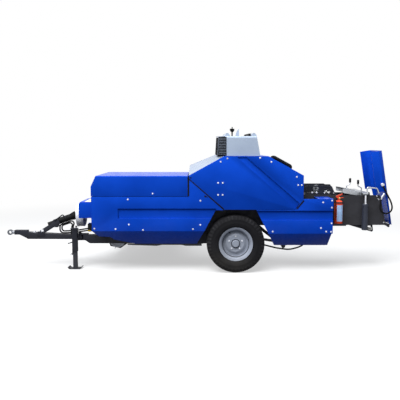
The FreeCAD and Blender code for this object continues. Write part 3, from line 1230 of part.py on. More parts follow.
def knotter_unit(index, x, y, z, base_z):
    """One knotter: drive disc, hooked casting, bill hook, knife arm and notched twine disc."""
    drive = toothed(f"DriveDisc{index}", "Y", y + 26, s.disc_width, x, z, s.disc_root, s.disc_tip,
                    14, s.knotter_shaft + 0.3)
    casting = plate(f"KnotterCasting{index}", "Y", y + 6, s.casting_width, [
        (x, z + 28, 28), (x - 28, z, 28), (x - 42, base_z + 10), (x - 32, base_z), (x + 96, base_z),
        (x + 104, base_z + 12), (x + 62, base_z + 20), (x + 28, z, -60)],
        holes=[(x, z, s.knotter_shaft + 0.3)])
    post = rod(f"BillPost{index}", "Z", x - 36, y + 12, base_z, ZERO + 7, ZERO + 38)
    bill = plate(f"BillHook{index}", "Z", base_z + 33, ZERO + 8, [
        (x - 46, y + 12), (x - 36, y + 2, 10), (x - 4, y - 12), (x, y - 6), (x - 28, y + 16),
        (x - 36, y + 20)])
    twine = toothed(f"TwineDisc{index}", "X", x + 44, ZERO + 10, y - 16, base_z + 36, ZERO + 22,
                    ZERO + 30, 6, ZERO + 6)
    pin = rod(f"TwinePin{index}", "X", x + 36, y - 16, base_z + 36, ZERO + 7, ZERO + 54)
    arm = plate(f"TwineArm{index}", "X", x + 82, ZERO + 8, [
        (y - 28, base_z), (y + 2, base_z), (y - 4, base_z + 36), (y - 16, base_z + 48, 12),
        (y - 28, base_z + 36, 12)])
    return [drive, fuse(f"KnotterBody{index}", [casting, post, bill]),
            fuse(f"TwineSet{index}", [twine, pin, arm])]


def rear_deck():
    deck = box("DeckSheet", s.deck_front, s.cover_face + s.panel_sheet + 1,
               s.rear_skirt_top - s.panel_sheet, s.rear_skirt_end - s.deck_front,
               s.chamber_left - s.cover_face - s.panel_sheet - 2, s.panel_sheet)
    keep(compound("RearDeck", [deck]), "rear_deck")


# ---------------------------------------------------------------- pick-up and feeder
def pickup():
    span = s.pickup_right - s.pickup_left
    tie_x = s.reel_x + s.tie_reach
    tie_z = s.reel_z + s.tie_rise
    plates = [
        plate(f"PickupSide{index}", "Y", station, s.pickup_plate, [
            (s.reel_x - 165, s.reel_z + 20), (s.reel_x - 110, s.reel_z - 118),
            (s.reel_x + 40, s.reel_z - 150), (s.reel_x + 170, s.reel_z - 60),
            (s.lift_x + 30, s.lift_z - 30), (s.lift_x + 34, s.lift_z), (s.lift_x + 20, s.lift_z + 30),
            (s.lift_x - 30, s.lift_z + 34), (s.reel_x - 60, s.reel_z + 155)],
            holes=[(s.lift_x, s.lift_z, s.lift_radius + 0.5), (s.reel_x, s.reel_z, ZERO + 26)])
        for index, station in enumerate((s.pickup_left, s.pickup_right - s.pickup_plate))
    ]
    tie = rod("PickupTie", "Y", tie_x, s.pickup_left, tie_z, s.tie_radius, span)
    stub = rod("GaugeStub", "Y", s.gauge_x, s.pickup_right - 1, s.gauge_z + 60, ZERO + 16, ZERO + 15)
    hanger = plate("GaugeHanger", "Y", s.pickup_right + 8, ZERO + 8, [
        (s.gauge_x - 22, s.gauge_z - 20), (s.gauge_x + 22, s.gauge_z - 20),
        (s.gauge_x + 22, s.gauge_z + 84), (s.gauge_x - 22, s.gauge_z + 84)])
    spindle = rod("GaugeSpindle", "Y", s.gauge_x, s.pickup_right + 12, s.gauge_z, ZERO + 12,
                  s.gauge_width + 16)
    keep(fuse("PickupFrame", plates + [tie, stub, hanger, spindle]), "pickup_frame")
    gauge = turned("GaugeWheel", [
        (12.3, -s.gauge_width / 2), (s.gauge_radius - 20, -s.gauge_width / 2),
        (s.gauge_radius, -s.gauge_width / 2 + 20), (s.gauge_radius, s.gauge_width / 2 - 20),
        (s.gauge_radius - 20, s.gauge_width / 2), (12.3, s.gauge_width / 2)])
    keep(gauge, "gauge_wheel", s.gauge_x, s.pickup_right + 22 + s.gauge_width / 2, s.gauge_z)

    bands = []
    count = 16
    step = (span - s.pickup_plate * 2 - 40) / count
    outer = s.band_radius
    inner = outer - s.band_strip
    lip_x = s.lift_x + 4
    for index in range(count):
        y = s.pickup_left + s.pickup_plate + 20 + step * (index + 0.2)
        body = new_body(f"Band{index}")
        sketch = sketch_on(body, "Y", f"BandOutline{index}", y)
        outline(sketch, [
            (s.reel_x, s.reel_z + outer), (s.reel_x - outer, s.reel_z, outer),
            (s.reel_x, s.reel_z - outer, outer), (tie_x - 14.5, tie_z - 14.6), (tie_x - 17.8, tie_z - 10.4),
            (s.reel_x, s.reel_z - inner), (s.reel_x - inner, s.reel_z, -inner),
            (s.reel_x, s.reel_z + inner, -inner), (lip_x, s.feeder_floor - s.band_strip),
            (lip_x, s.feeder_floor)])
        pad(body, sketch, "Y", step * 0.55)
        bands.append(body)
    keep(compound("StripperBands", bands), "stripper_bands")

    core = rod("ReelTube", "Y", s.reel_x, s.pickup_left - 20, s.reel_z, ZERO + 25, span + 40)
    tines = []
    for index in range(count):
        y = s.pickup_left + s.pickup_plate + 20 + step * (index + 0.875)
        for turn in range(4):
            blade = box(f"Tine{index}x{turn}", ZERO, ZERO, ZERO, s.tine_radius, ZERO + 6, ZERO + 8)
            blade.Placement = Placement(Vector(), Rotation(Vector(0, 1, 0), 90 * turn + 20))
            put_place(blade, s.reel_x, y - 3, s.reel_z)
            tines.append(blade)
    keep(fuse("PickupReel", [core] + tines), "pickup_reel")


def feeder():
    g = s.panel_sheet
    floor = plate("FeederFloor", "Y", s.chamber_right + 1, s.feeder_right - s.chamber_right - 1, [
        (s.feeder_front, s.feeder_floor), (s.feeder_rear, s.feeder_floor + 120),
        (s.feeder_rear, s.feeder_top), (s.feeder_rear - g, s.feeder_top),
        (s.feeder_rear - g, s.feeder_floor + 125), (s.feeder_front, s.feeder_floor + g)])
    lift = rod("LiftTube", "Y", s.lift_x, s.pickup_left - 20, s.lift_z, s.lift_radius,
               s.pickup_right - s.pickup_left + 30)
    lugs = [
        plate(f"LiftLug{index}", "Y", y, ZERO + 10, [
            (s.lift_x - 10, s.lift_z), (s.lift_x + 60, s.feeder_floor - 12),
            (s.feeder_front + 120, s.feeder_floor + 17), (s.feeder_front + 4, s.feeder_floor + 2)])
        for index, y in enumerate((s.pickup_left + 60, s.pickup_left + 700, s.feeder_right - 70))
    ]
    keep(fuse("FeederTable", [floor, lift] + lugs), "feeder_table")
    roof = plate("FeederRoof", "Y", s.chamber_right + 1, s.feeder_right - s.chamber_right - 1, [
        (s.feeder_rear, s.feeder_top + 1), (s.feeder_rear, s.feeder_top + 1 + g),
        (s.feeder_front + 60, s.feeder_top + 1 + g), (s.feeder_front - 120, s.feeder_top - 200),
        (s.feeder_front - 116, s.feeder_top - 203), (s.feeder_front + 62, s.feeder_top + 1)])
    keep(roof, "feeder_cover")
    end = plate("FeederEnd", "Y", s.feeder_right + 1, g, [
        (s.feeder_front, s.feeder_floor), (s.feeder_rear, s.feeder_floor + 120),
        (s.feeder_rear, s.feeder_top + g), (s.feeder_front + 60, s.feeder_top + g),
        (s.feeder_front - 100, s.feeder_top - 180), (s.feeder_front - 40, s.feeder_floor + 90)])
    keep(end, "feeder_end_plate")


# ---------------------------------------------------------------- rear end
def chute():
    """Bale chute with pressed side walls, folded up against the end of the chamber."""
    gauge = s.chute_sheet
    wall = s.chute_wall
    width = s.chute_right - s.chute_left
    bulge = s.chute_bulge
    near, far = wall * 0.3, wall * 0.62
    body = new_body("Chute")
    sketch = sketch_on(body, "Z", "ChuteSection", ZERO)
    outline(sketch, [
        (-wall, ZERO), (-wall, -gauge), (-far, -gauge - bulge), (-near, -gauge - bulge),
        (ZERO, -gauge), (gauge, ZERO), (gauge, width), (ZERO, width + gauge),
        (-near, width + gauge + bulge), (-far, width + gauge + bulge), (-wall, width + gauge),
        (-wall, width), (-far, width + bulge), (-near, width + bulge), (ZERO, width),
        (ZERO, ZERO), (-near, -bulge), (-far, -bulge)])
    pad(body, sketch, "Z", s.chute_length)
    foot = sketch_on(body, "Y", "FootCut", -bulge - gauge - 2)
    outline(foot, [(-wall - 1, ZERO - 1), (-s.chute_clearance, ZERO - 1),
                   (-s.foot_cut_top, s.foot_cut_rise), (-wall - 1, s.foot_cut_rise + 12)])
    pocket(body, foot, "Y", width + bulge * 2 + gauge * 2 + 4)
    body.Placement = Placement(Vector(), Rotation(Vector(0, 1, 0), -s.chute_lean.number))
    put_place(body, s.chute_hinge_x + s.chute_set_back, s.chute_left, s.chute_hinge_z + s.chute_rise)
    axis_x, axis_z, eye = s.chute_hinge_x, s.chute_hinge_z, s.strap_eye
    straps = [plate(f"ChuteStrap{index}", "Y", y, s.strap_width, [
        (axis_x, axis_z + eye), (axis_x - eye, axis_z, eye), (axis_x, axis_z - eye, eye),
        (axis_x + eye, axis_z, eye),
        (axis_x + eye + 17, axis_z + 26), (axis_x + 18, axis_z + 84), (axis_x + 12, axis_z + 84),
        (axis_x + 15, axis_z + 28), (axis_x + 8, axis_z + 14)],
        holes=[(axis_x, axis_z, s.chute_pin + 0.4)])
        for index, y in enumerate((s.chamber_left + 56, s.chamber_right - 64))]
    stud = rod("CordStud", "Y", s.cord_x, s.chute_left - bulge - gauge - s.stud_reach, s.cord_z,
               s.stud_radius, s.stud_reach + gauge + 6)
    keep(fuse("ChuteSolid", [body, stud] + straps), "chute")


def chute_hinge():
    """Hinge rod of the chute, carried by two lugs under the chamber's floor."""
    x, z = s.chute_hinge_x, s.chute_hinge_z
    left, right = s.chamber_left + 36, s.chamber_right - 46
    lugs = [plate(f"ChuteLug{index}", "Y", y, ZERO + 10, [
        (x - 60, s.chamber_floor_z + 1), (x - s.strap_eye, z), (x, z - s.strap_eye, s.strap_eye),
        (x + s.strap_eye, z, s.strap_eye), (x + 6, s.chamber_floor_z + 1)])
        for index, y in enumerate((left, right))]
    return lugs + [rod("ChuteRod", "Y", x, left, z, s.chute_pin, right + 10 - left)]


CORD = [(0, 0), (34, -66), (70, -140), (110, -208), (135, -285), (128, -337), (92, -374),
        (40, -383), (-6, -360), (-31, -315), (-28, -250), (-17, -188)]


def cord_radii(points):
    """The widest tangent arc at each inner point of a cord's route."""
    radii = []
    for before, here, after in zip(points, points[1:], points[2:]):
        corner = Vector(*here, 0)
        back, onward = Vector(*before, 0) - corner, Vector(*after, 0) - corner
        turn = math.pi - back.getAngle(onward)
        radii.append(0.45 * min(back.Length, onward.Length) / math.tan(turn / 2))
    return radii


def chute_cord():
    """Cord that hangs in a loop from the chute's stud, with the hook at its free end."""
    radii = cord_radii(CORD)
    print("cord radii", [round(radius) for radius in radii])
    first_x, first_z = CORD[1]
    run = math.hypot(first_x, first_z)
    start_x = s.cord_x + s.stud_radius * (first_x / run)
    start_z = s.cord_z + s.stud_radius * (first_z / run)
    cord = pipe("ChuteCord", s.cord_radius, CORD, radii, start_x, s.cord_y, start_z)
    keep(compound("ChuteCordPiece", [cord]), "chute_cord")
    end_x, end_z = CORD[-1]
    step_x, step_z = end_x - CORD[-2][0], end_z - CORD[-2][1]
    hook = pipe("CordHook", s.cord_radius + 2,
                [(0, 0), (step_x * 0.45, step_z * 0.45), (40, 80)], [30],
                start_x + end_x, s.cord_y, start_z + end_z)
    keep(compound("CordHookPiece", [hook]), "cord_hook")


def tension():
    """Tension rails on top of the bale, with the spring rams and cranks that load them."""
    g = s.rail_gauge
    rails = []
    for index, y in enumerate((s.chamber_left + 20, s.chamber_right - 20 - s.rail_width)):
        body = plate(f"TopRail{index}", "Y", y, s.rail_width, [
            (s.rail_front, s.rail_top - s.rail_height),
            (s.rail_rear, s.rail_top - s.rail_height - s.rail_drop),
            (s.rail_rear, s.rail_top - s.rail_drop), (s.rail_front, s.rail_top)])
        channel = sketch_on(body, "Y", f"Channel{index}", y - 1)
        outline(channel, [
            (s.rail_front - 1, s.rail_top - s.rail_height + g),
            (s.rail_rear + 1, s.rail_top - s.rail_height - s.rail_drop + g),
            (s.rail_rear + 1, s.rail_top - s.rail_drop - g), (s.rail_front - 1, s.rail_top - g)])
        pocket(body, channel, "Y", s.rail_width - g)
        rails.append(body)
    beam = plate("TopBeam", "Y", s.ram_y - 20, s.chamber_left + s.chamber_right - s.ram_y * 2 + 40,
                 rounded(s.ram_x - 40, s.ram_rod_top - 30, s.ram_x + 32,
                         s.ram_rod_top - 30 + s.beam_height, ZERO + 8))
    handle = pipe("RailHandle", s.handle_radius, [(0, 0), (0, 74), (132, 60), (161, -8)],
                  [18, 26], s.ram_x + 20, s.ram_y, s.ram_rod_top - 10)
    crank_y = s.chamber_left + 48
    feet = ((s.crank_front, 45, s.rail_top - 1, s.grip_top),
            (s.crank_rear, -48, s.rail_top - 40, s.grip_top - 24))
    nuts = [rod(f"RailNut{index}", "Z", x - side, crank_y, foot - 13, s.grip_radius, ZERO + 13)
            for index, (x, side, foot, top) in enumerate(feet)]
    keep(fuse("TensionRails", rails + [beam, handle] + nuts), "tension_rails")

    low = s.chamber_floor_z
    low_left, low_right = s.chamber_left + 40, s.chamber_right - 40
    cheeks = []
    for index, y in enumerate((low_left, low_right - s.low_plate)):
        body = plate(f"LowCheek{index}", "Y", y, s.low_plate, [
            (s.low_front, low), (s.low_rear, s.low_tip_z),
            (s.low_rear + 22, s.low_tip_z + 22, 22), (s.low_rear + 12, low)])
        window = sketch_on(body, "Y", f"LowWindow{index}", y - 1)
        outline(window, [(s.low_rear - 110, low - 16), (s.low_rear - 4, s.low_tip_z + 40),
                         (s.low_rear - 12, low - 16)])
        pocket(body, window, "Y", s.low_plate + 2)
        cheeks.append(body)
    sole = plate("LowSole", "Y", low_left, low_right - low_left, [
        (s.low_front, low), (s.low_rear, s.low_tip_z), (s.low_rear, s.low_tip_z + 8),
        (s.low_front + 30, low)])
    tube = rod("LowTube", "Y", s.low_rear, low_left, s.low_tip_z + 22, ZERO + 18,
               low_right - low_left)
    keep(fuse("LowRail", cheeks + [sole, tube]), "lower_tension_rail")

    ram_stations = (s.ram_y, s.chamber_left + s.chamber_right - s.ram_y)
    rams = []
    for index, y in enumerate(ram_stations):
        body = turned(f"Ram{index}", [
            (0, 0), (s.ram_radius - 6, 0), (s.ram_radius, 6), (s.ram_radius, s.ram_length - 10),
            (s.ram_radius - 10, s.ram_length), (s.ram_rod, s.ram_length),
            (s.ram_rod, s.ram_rod_top - 30 - s.ram_low), (0, s.ram_rod_top - 30 - s.ram_low)])
        body.Placement = Placement(Vector(), Rotation(Vector(1, 0, 0), 90))
        put_place(body, s.ram_x, y, s.ram_low)
        rams.append(body)
    keep(compound("SpringRams", rams), "spring_rams")

    cranks = []
    for index, (x, side, foot, top) in enumerate(feet):
        drop = (top - s.grip_length - foot).number
        arm = pipe(f"Crank{index}", s.crank_radius,
                   [(0, 0), (0, drop * 0.45), (side, drop * 0.7), (side, drop)], [12, 12],
                   x - side, crank_y, foot)
        grip = rod(f"Grip{index}", "Z", x, crank_y, top - s.grip_length - 2, s.grip_radius,
                   s.grip_length + 2)
        cranks.append(fuse(f"CrankAndGrip{index}", [arm, grip]))
    keep(compound("Cranks", cranks), "tension_cranks")


def fire_bottle():
    """Fire extinguisher on its shelf, with valve, carrying handle and lever."""
    r, high = s.bottle_radius, s.bottle_height
    bottle = turned("Bottle", [
        (0, 0), (r - 6, 0), (r, 6), (r, high - 40), (s.neck_radius + 4, high, 46),
        (s.neck_radius, high + 6), (s.neck_radius, high + 34), (0, high + 34)])
    bottle.Placement = Placement(Vector(), Rotation(Vector(1, 0, 0), 90))
    put_place(bottle, s.bottle_x, s.bottle_y, s.bottle_low)
    head = s.bottle_low + high + 26
    handles = [
        plate("CarryHandle", "Y", s.bottle_y - 9, ZERO + 18, [
            (s.bottle_x - 26, head), (s.bottle_x + 18, head), (s.bottle_x + 62, head + 6),
            (s.bottle_x + 62, head + 12), (s.bottle_x + 16, head + 12),
            (s.bottle_x - 26, head + 16)]),
        plate("Lever", "Y", s.bottle_y - 9, ZERO + 18, [
            (s.bottle_x - 40, head + 14), (s.bottle_x - 10, head + 14),
            (s.bottle_x + 50, head + 56), (s.bottle_x + 44, head + 64, 10),
            (s.bottle_x - 40, head + 30)]),
    ]
    keep(fuse("FireBottle", [bottle] + handles), "fire_extinguisher")
    shelf = plate("BottleShelf", "X", s.bottle_x - 90, ZERO + 180, [
        (s.bottle_y - r - 6, s.bottle_low - 8), (s.chamber_left, s.bottle_low - 8),
        (s.chamber_left, s.bottle_low), (s.bottle_y - r - 2, s.bottle_low),
        (s.bottle_y - r - 2, s.bottle_low + 22), (s.bottle_y - r - 6, s.bottle_low + 22)])
    keep(shelf, "extinguisher_shelf")


# ---------------------------------------------------------------- build
def build():
    wheels()
    axle()
    main_beam()
    chamber()
    drawbar()
    hitch_eye()
    shaft_prop()
    parked_hoses()
    drive_shaft()
    flywheel()
    flywheel_cover()
    gearbox()
    side_members()
    jack()
    hood()
    front_skirt()
    rear_skirt()
    tall_panel("left_tall_panel", "TallLeft", s.cover_face, 1, s.tall_front, s.tall_front_z,
               s.tall_shoulder)
    tall_panel("right_tall_panel", "TallRight", s.slope_far + s.slope_gap, -1, s.far_front,
               s.far_front_z, s.far_shoulder)
    slope_covers()
    cowl()
    body_sheets()
    arch_liner()
    needle_yoke()
    needle_guard()
    yoke_pivots()
    knotter()
    rear_deck()
    pickup()
    feeder()
    chute()
    chute_cord()
    tension()
    fire_bottle()


def check():
    """Stop before anything is written if a feature failed or a piece is not a sound solid."""
    doc.recompute()
    faults = [f"{o.Label}: {o.State}" for o in doc.Objects
              if "Invalid" in o.State or "Error" in o.State]
    faults += [p.Label for p in PIECES if p.Shape.isNull() or not p.Shape.isValid()]
    if faults:
        raise RuntimeError("\n".join(faults))


def export():
    os.makedirs("parts", exist_ok=True)
    for piece in PIECES:
        piece.Shape.exportStep(f"parts/{piece.Label}.step")


build()
check()
export()
print(len(PIECES), "pieces written")
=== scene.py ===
# %% [markdown]
# # A side pick-up square baler
#
# The machine is towed behind a tractor. Its pick-up lifts hay from the ground on the right, the
# feeder sweeps it into a long chamber, a plunger presses it and two knotters tie the bale. The
# metalwork arrives from the CAD model as separate pieces that already lie in their places. The
# cells below give those pieces real finishes, and add the small things that a drawing leaves out:
# tread, nuts and bolts, seals, louvres, grips, dust caps and the pull cord.

# %% Load the frame
import json
import math

import bpy
from mathutils import Matrix, Vector

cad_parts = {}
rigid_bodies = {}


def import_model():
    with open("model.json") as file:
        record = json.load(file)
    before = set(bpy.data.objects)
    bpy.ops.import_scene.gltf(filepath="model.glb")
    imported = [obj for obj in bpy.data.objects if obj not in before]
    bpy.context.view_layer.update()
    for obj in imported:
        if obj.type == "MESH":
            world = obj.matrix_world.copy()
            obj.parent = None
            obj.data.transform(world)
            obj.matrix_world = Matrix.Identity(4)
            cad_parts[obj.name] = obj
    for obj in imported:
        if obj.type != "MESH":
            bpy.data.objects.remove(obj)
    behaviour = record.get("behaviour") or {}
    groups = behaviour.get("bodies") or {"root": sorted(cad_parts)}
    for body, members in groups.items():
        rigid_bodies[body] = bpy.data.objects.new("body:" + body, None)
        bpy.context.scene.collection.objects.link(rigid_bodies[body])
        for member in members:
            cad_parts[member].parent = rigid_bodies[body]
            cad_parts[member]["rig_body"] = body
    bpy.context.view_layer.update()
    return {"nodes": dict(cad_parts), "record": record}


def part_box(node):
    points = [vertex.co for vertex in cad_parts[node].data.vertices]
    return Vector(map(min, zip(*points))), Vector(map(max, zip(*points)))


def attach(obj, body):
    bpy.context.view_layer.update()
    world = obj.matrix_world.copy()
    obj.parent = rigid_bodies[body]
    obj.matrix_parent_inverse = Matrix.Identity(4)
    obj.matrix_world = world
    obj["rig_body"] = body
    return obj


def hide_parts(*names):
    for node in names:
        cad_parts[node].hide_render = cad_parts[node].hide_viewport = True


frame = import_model()
bpy.ops.object.select_all(action="DESELECT")

# %% [markdown]
# ## Where things are
#
# The CAD model measures from the middle of the footprint. It is easier to think in the machine's
# own stations: metres to the rear of the axle, metres to the right of the left tyre's outer face,
# and metres above the ground. `at` turns such stations into the frame's coordinates.

# %% Machine stations
AXLE_X, LEFT_FACE_Y, AXLE_Z = 0.500, -1.230, 0.385


def at(x, y, z):
    return Vector((AXLE_X + x, LEFT_FACE_Y + y, z))


print("axle, at the left tyre's outer face", at(0, 0, AXLE_Z)[:])

# %% [markdown]
# ## Camera
#
# The machine is seen square from its left side, from about seven metres away and a little above
# its hood, with a moderately long lens. A camera looks along its own -Z axis, so a quarter turn
# about X stands it upright, and a few degrees less tip it down towards the ground.

# %% Camera
CAMERA_X, CAMERA_BACK, CAMERA_HEIGHT = 0.028, 7.0, 1.685
CAMERA_TIP = 5.8
SENSOR, LENS = 36, 48.78
bpy.ops.object.camera_add(location=(CAMERA_X, LEFT_FACE_Y - CAMERA_BACK, CAMERA_HEIGHT),
                          rotation=(math.radians(90 - CAMERA_TIP), 0, 0))
camera = bpy.context.object
camera.data.sensor_width = SENSOR
camera.data.lens = LENS
bpy.context.scene.camera = camera
print("camera height", round(camera.location.z, 3))

# %% [markdown]
# ## Floor, backdrop and light
#
# A studio for a machine is a white sweep with big soft lamps. The floor is a wide disc that glows
# half by itself, which keeps the shadow soft, and turns into pure white towards its edge, so no
# horizon shows. Glossy and transmission rays see that white too, in the sky as on the floor. The
# light that the floor throws back on the machine is kept lower, as from dark ground, because paint
# that faces down would otherwise look as bright as paint that faces the sky.

# %% What the rays see
FLOOR_RADIUS = 40
FADE_FROM, FADE_TO, GLOW = 3.5, 9.0, 0.5
FLOOR_SEEN, FLOOR_THROWN_BACK = (0.86, 0.86, 0.86, 1), (0.06, 0.06, 0.065, 1)
SKY_SEEN, SKY_LIGHT = (1, 1, 1, 1), (0.30, 0.32, 0.35, 1)


def arithmetic(tree, operation, first, second):
    node = tree.nodes.new("ShaderNodeMath")
    node.operation = operation
    tree.links.new(first, node.inputs[0])
    tree.links.new(second, node.inputs[1])
    return node.outputs[0]


def seeing_rays(tree):
    """1 for camera, glossy and transmission rays, which look at the studio; 0 for its light."""
    rays = tree.nodes.new("ShaderNodeLightPath").outputs
    through = arithmetic(tree, "MAXIMUM", rays["Is Glossy Ray"], rays["Is Transmission Ray"])
    return arithmetic(tree, "MAXIMUM", rays["Is Camera Ray"], through)


def two_colours(tree, mask, unseen, seen):
    node = tree.nodes.new("ShaderNodeMix")
    node.data_type = "RGBA"
    node.inputs["A"].default_value = unseen
    node.inputs["B"].default_value = seen
    tree.links.new(mask, node.inputs["Factor"])
    return node.outputs["Result"]

# %% Floor
def edge_fade(tree):
    """GLOW in the middle of the floor, rising to 1 at its edge."""
    place = tree.nodes.new("ShaderNodeTexCoord")
    length = tree.nodes.new("ShaderNodeVectorMath")
    length.operation = "LENGTH"
    tree.links.new(place.outputs["Object"], length.inputs[0])
    fade = tree.nodes.new("ShaderNodeMapRange")
    fade.interpolation_type = "SMOOTHSTEP"
    fade.inputs["From Min"].default_value = FADE_FROM
    fade.inputs["From Max"].default_value = FADE_TO
    fade.inputs["To Min"].default_value = GLOW
    tree.links.new(length.outputs["Value"], fade.inputs["Value"])
    return fade.outputs["Result"]


def make_floor():
    bpy.ops.mesh.primitive_circle_add(vertices=96, radius=FLOOR_RADIUS, fill_type="NGON")
    floor = bpy.context.object
    floor.name = "floor"
    material = bpy.data.materials.new("pale_floor")
    material.use_nodes = True
    tree = material.node_tree
    tree.nodes.clear()
    seen = seeing_rays(tree)
    ground = tree.nodes.new("ShaderNodeBsdfDiffuse")
    tree.links.new(two_colours(tree, seen, FLOOR_THROWN_BACK, FLOOR_SEEN), ground.inputs["Color"])
    white = tree.nodes.new("ShaderNodeEmission")
    mix = tree.nodes.new("ShaderNodeMixShader")
    tree.links.new(arithmetic(tree, "MULTIPLY", edge_fade(tree), seen), mix.inputs["Fac"])
    tree.links.new(ground.outputs["BSDF"], mix.inputs[1])
    tree.links.new(white.outputs["Emission"], mix.inputs[2])
    out = tree.nodes.new("ShaderNodeOutputMaterial")
    tree.links.new(mix.outputs["Shader"], out.inputs["Surface"])
    floor.data.materials.append(material)

# %% Sky
def make_sky():
    world = bpy.data.worlds.new("studio_sky")
    bpy.context.scene.world = world
    world.use_nodes = True
    tree = world.node_tree
    tree.nodes.clear()
    sky = tree.nodes.new("ShaderNodeBackground")
    tree.links.new(two_colours(tree, seeing_rays(tree), SKY_LIGHT, SKY_SEEN), sky.inputs["Color"])
    out = tree.nodes.new("ShaderNodeOutputWorld")
    tree.links.new(sky.outputs["Background"], out.inputs["Surface"])


make_floor()
make_sky()
print("floor", FLOOR_RADIUS, "m in radius, pure white from", FADE_TO, "m outwards")

# %% [markdown]
# Two soft boxes light the machine: one overhead, and a stronger one in front and above, on the
# side that is looked at. An area lamp gives soft shadows, and the bigger it is, the softer they
# are. Small spots would draw hard edges that a white studio doesn't have.

# %% Lamps
def make_lamp(name, place, aim, size, power):
    bpy.ops.object.light_add(type="AREA", location=place)
    lamp = bpy.context.object
    lamp.name = name
    lamp.rotation_euler = (Vector(aim) - Vector(place)).to_track_quat("-Z", "Y").to_euler()
    lamp.data.shape = "RECTANGLE"
    lamp.data.size, lamp.data.size_y = size
    lamp.data.energy = power
    print(name, power, "W")


make_lamp("overhead_softbox", (0, -2.0, 8.0), (0, 0, 0.8), (9, 6), 700)
make_lamp("front_softbox", (-2.5, -7.0, 8.0), (0, 0, 0.9), (7, 5), 1100)
bpy.context.scene.view_settings.view_transform = "Standard"

# %% [markdown]
# ## Finishes
#
# Every finish is built from a few layers that real surfaces have: a base colour that wanders a
# little from place to place, a film of dust that gathers low down and in patches, and a fine bump.
# Each layer is a noise read in metres from Object coordinates, so it has the right scale on every
# piece. One helper builds those layers; each finish then sets its own constants.

# %% Layered finish helper
def linear(red, green, blue):
    """A screen colour from 0 to 255 as Blender's linear light."""
    def one(value):
        value /= 255
        return value / 12.92 if value <= 0.04045 else ((value + 0.055) / 1.055) ** 2.4
    return (one(red), one(green), one(blue), 1)


NOISE_ROUGHNESS = 0.55


class Finish:
    """A material with its node tree at hand."""

    def __init__(self, name, colour, roughness, metallic=0.0):
        self.material = bpy.data.materials.new(name)
        self.material.use_nodes = True
        self.nodes = self.material.node_tree.nodes
        self.links = self.material.node_tree.links
        self.shader = self.nodes["Principled BSDF"]
        self.shader.inputs["Base Color"].default_value = colour
        self.shader.inputs["Roughness"].default_value = roughness
        self.shader.inputs["Metallic"].default_value = metallic
        self.place = self.nodes.new("ShaderNodeTexCoord").outputs["Object"]
        self.colour = None
        self.base = colour
        self.bump = None

    def noise(self, scale, detail=4.0, stretch=(1, 1, 1)):
        source = self.place
        if stretch != (1, 1, 1):
            mapping = self.nodes.new("ShaderNodeMapping")
            mapping.inputs["Scale"].default_value = stretch
            self.links.new(source, mapping.inputs["Vector"])
            source = mapping.outputs["Vector"]
        node = self.nodes.new("ShaderNodeTexNoise")
        node.inputs["Scale"].default_value = scale
        node.inputs["Detail"].default_value = detail
        node.inputs["Roughness"].default_value = NOISE_ROUGHNESS
        self.links.new(source, node.inputs["Vector"])
        return node.outputs["Fac"]

    def between(self, source, low, high, to_low=0.0, to_high=1.0):
        node = self.nodes.new("ShaderNodeMapRange")
        node.interpolation_type = "SMOOTHSTEP"
        for name, value in (("From Min", low), ("From Max", high), ("To Min", to_low),
                            ("To Max", to_high)):
            node.inputs[name].default_value = value
        self.links.new(source, node.inputs["Value"])
        return node.outputs["Result"]

    def times(self, first, second):
        return arithmetic(self.material.node_tree, "MULTIPLY", first, second)

    def height(self):
        split = self.nodes.new("ShaderNodeSeparateXYZ")
        self.links.new(self.place, split.inputs["Vector"])
        return split.outputs["Z"]

    def from_axle(self):
        """The distance from the wheels' common axis, in metres."""
        across = self.nodes.new("ShaderNodeMapping")
        across.inputs["Location"].default_value = (-AXLE_X, 0, -AXLE_Z)
        across.inputs["Scale"].default_value = (1, 0, 1)
        self.links.new(self.place, across.inputs["Vector"])
        length = self.nodes.new("ShaderNodeVectorMath")
        length.operation = "LENGTH"
        self.links.new(across.outputs["Vector"], length.inputs[0])
        return length.outputs["Value"]

    def tint(self, mask, colour):
        """Blend the colour so far towards another one where the mask is white."""
        node = self.nodes.new("ShaderNodeMix")
        node.data_type = "RGBA"
        self.links.new(mask, node.inputs["Factor"])
        if self.colour is None:
            node.inputs["A"].default_value = self.base
        else:
            self.links.new(self.colour, node.inputs["A"])
        node.inputs["B"].default_value = colour
        self.colour = node.outputs["Result"]
        self.links.new(self.colour, self.shader.inputs["Base Color"])

    def rough(self, mask, low, high):
        self.links.new(self.between(mask, 0.3, 0.7, low, high), self.shader.inputs["Roughness"])

    def raise_by(self, source, strength, distance):
        node = self.nodes.new("ShaderNodeBump")
        node.inputs["Strength"].default_value = strength
        node.inputs["Distance"].default_value = distance
        self.links.new(source, node.inputs["Height"])
        if self.bump is not None:
            self.links.new(self.bump, node.inputs["Normal"])
        self.bump = node.outputs["Normal"]
        self.links.new(self.bump, self.shader.inputs["Normal"])

    def dust(self, top, most):
        """Dust that thins out upwards, to nothing at `top`, and lies in soft patches."""
        low_down = self.between(self.height(), 0.1, top, most, 0.0)
        patches = self.between(self.noise(2.3, 6.0), 0.35, 0.75)
        self.tint(self.times(low_down, patches), DUST)


DUST = linear(120, 116, 108)
print("dust colour", [round(channel, 3) for channel in DUST[:3]])

# %% [markdown]
# ### Painted sheet metal
#
# The panels are pressed sheet with glossy blue enamel, and the covers round the air intake are
# the same in grey. The reflection takes the paint's own colour where the sheet is seen square, and
# turns white at a grazing angle. The colour drifts by a few percent, as sprayed paint does, and a
# very fine bump keeps the reflections from looking like glass. A painted image could give the same,
# but a noise in metres has the right grain on every panel without one.

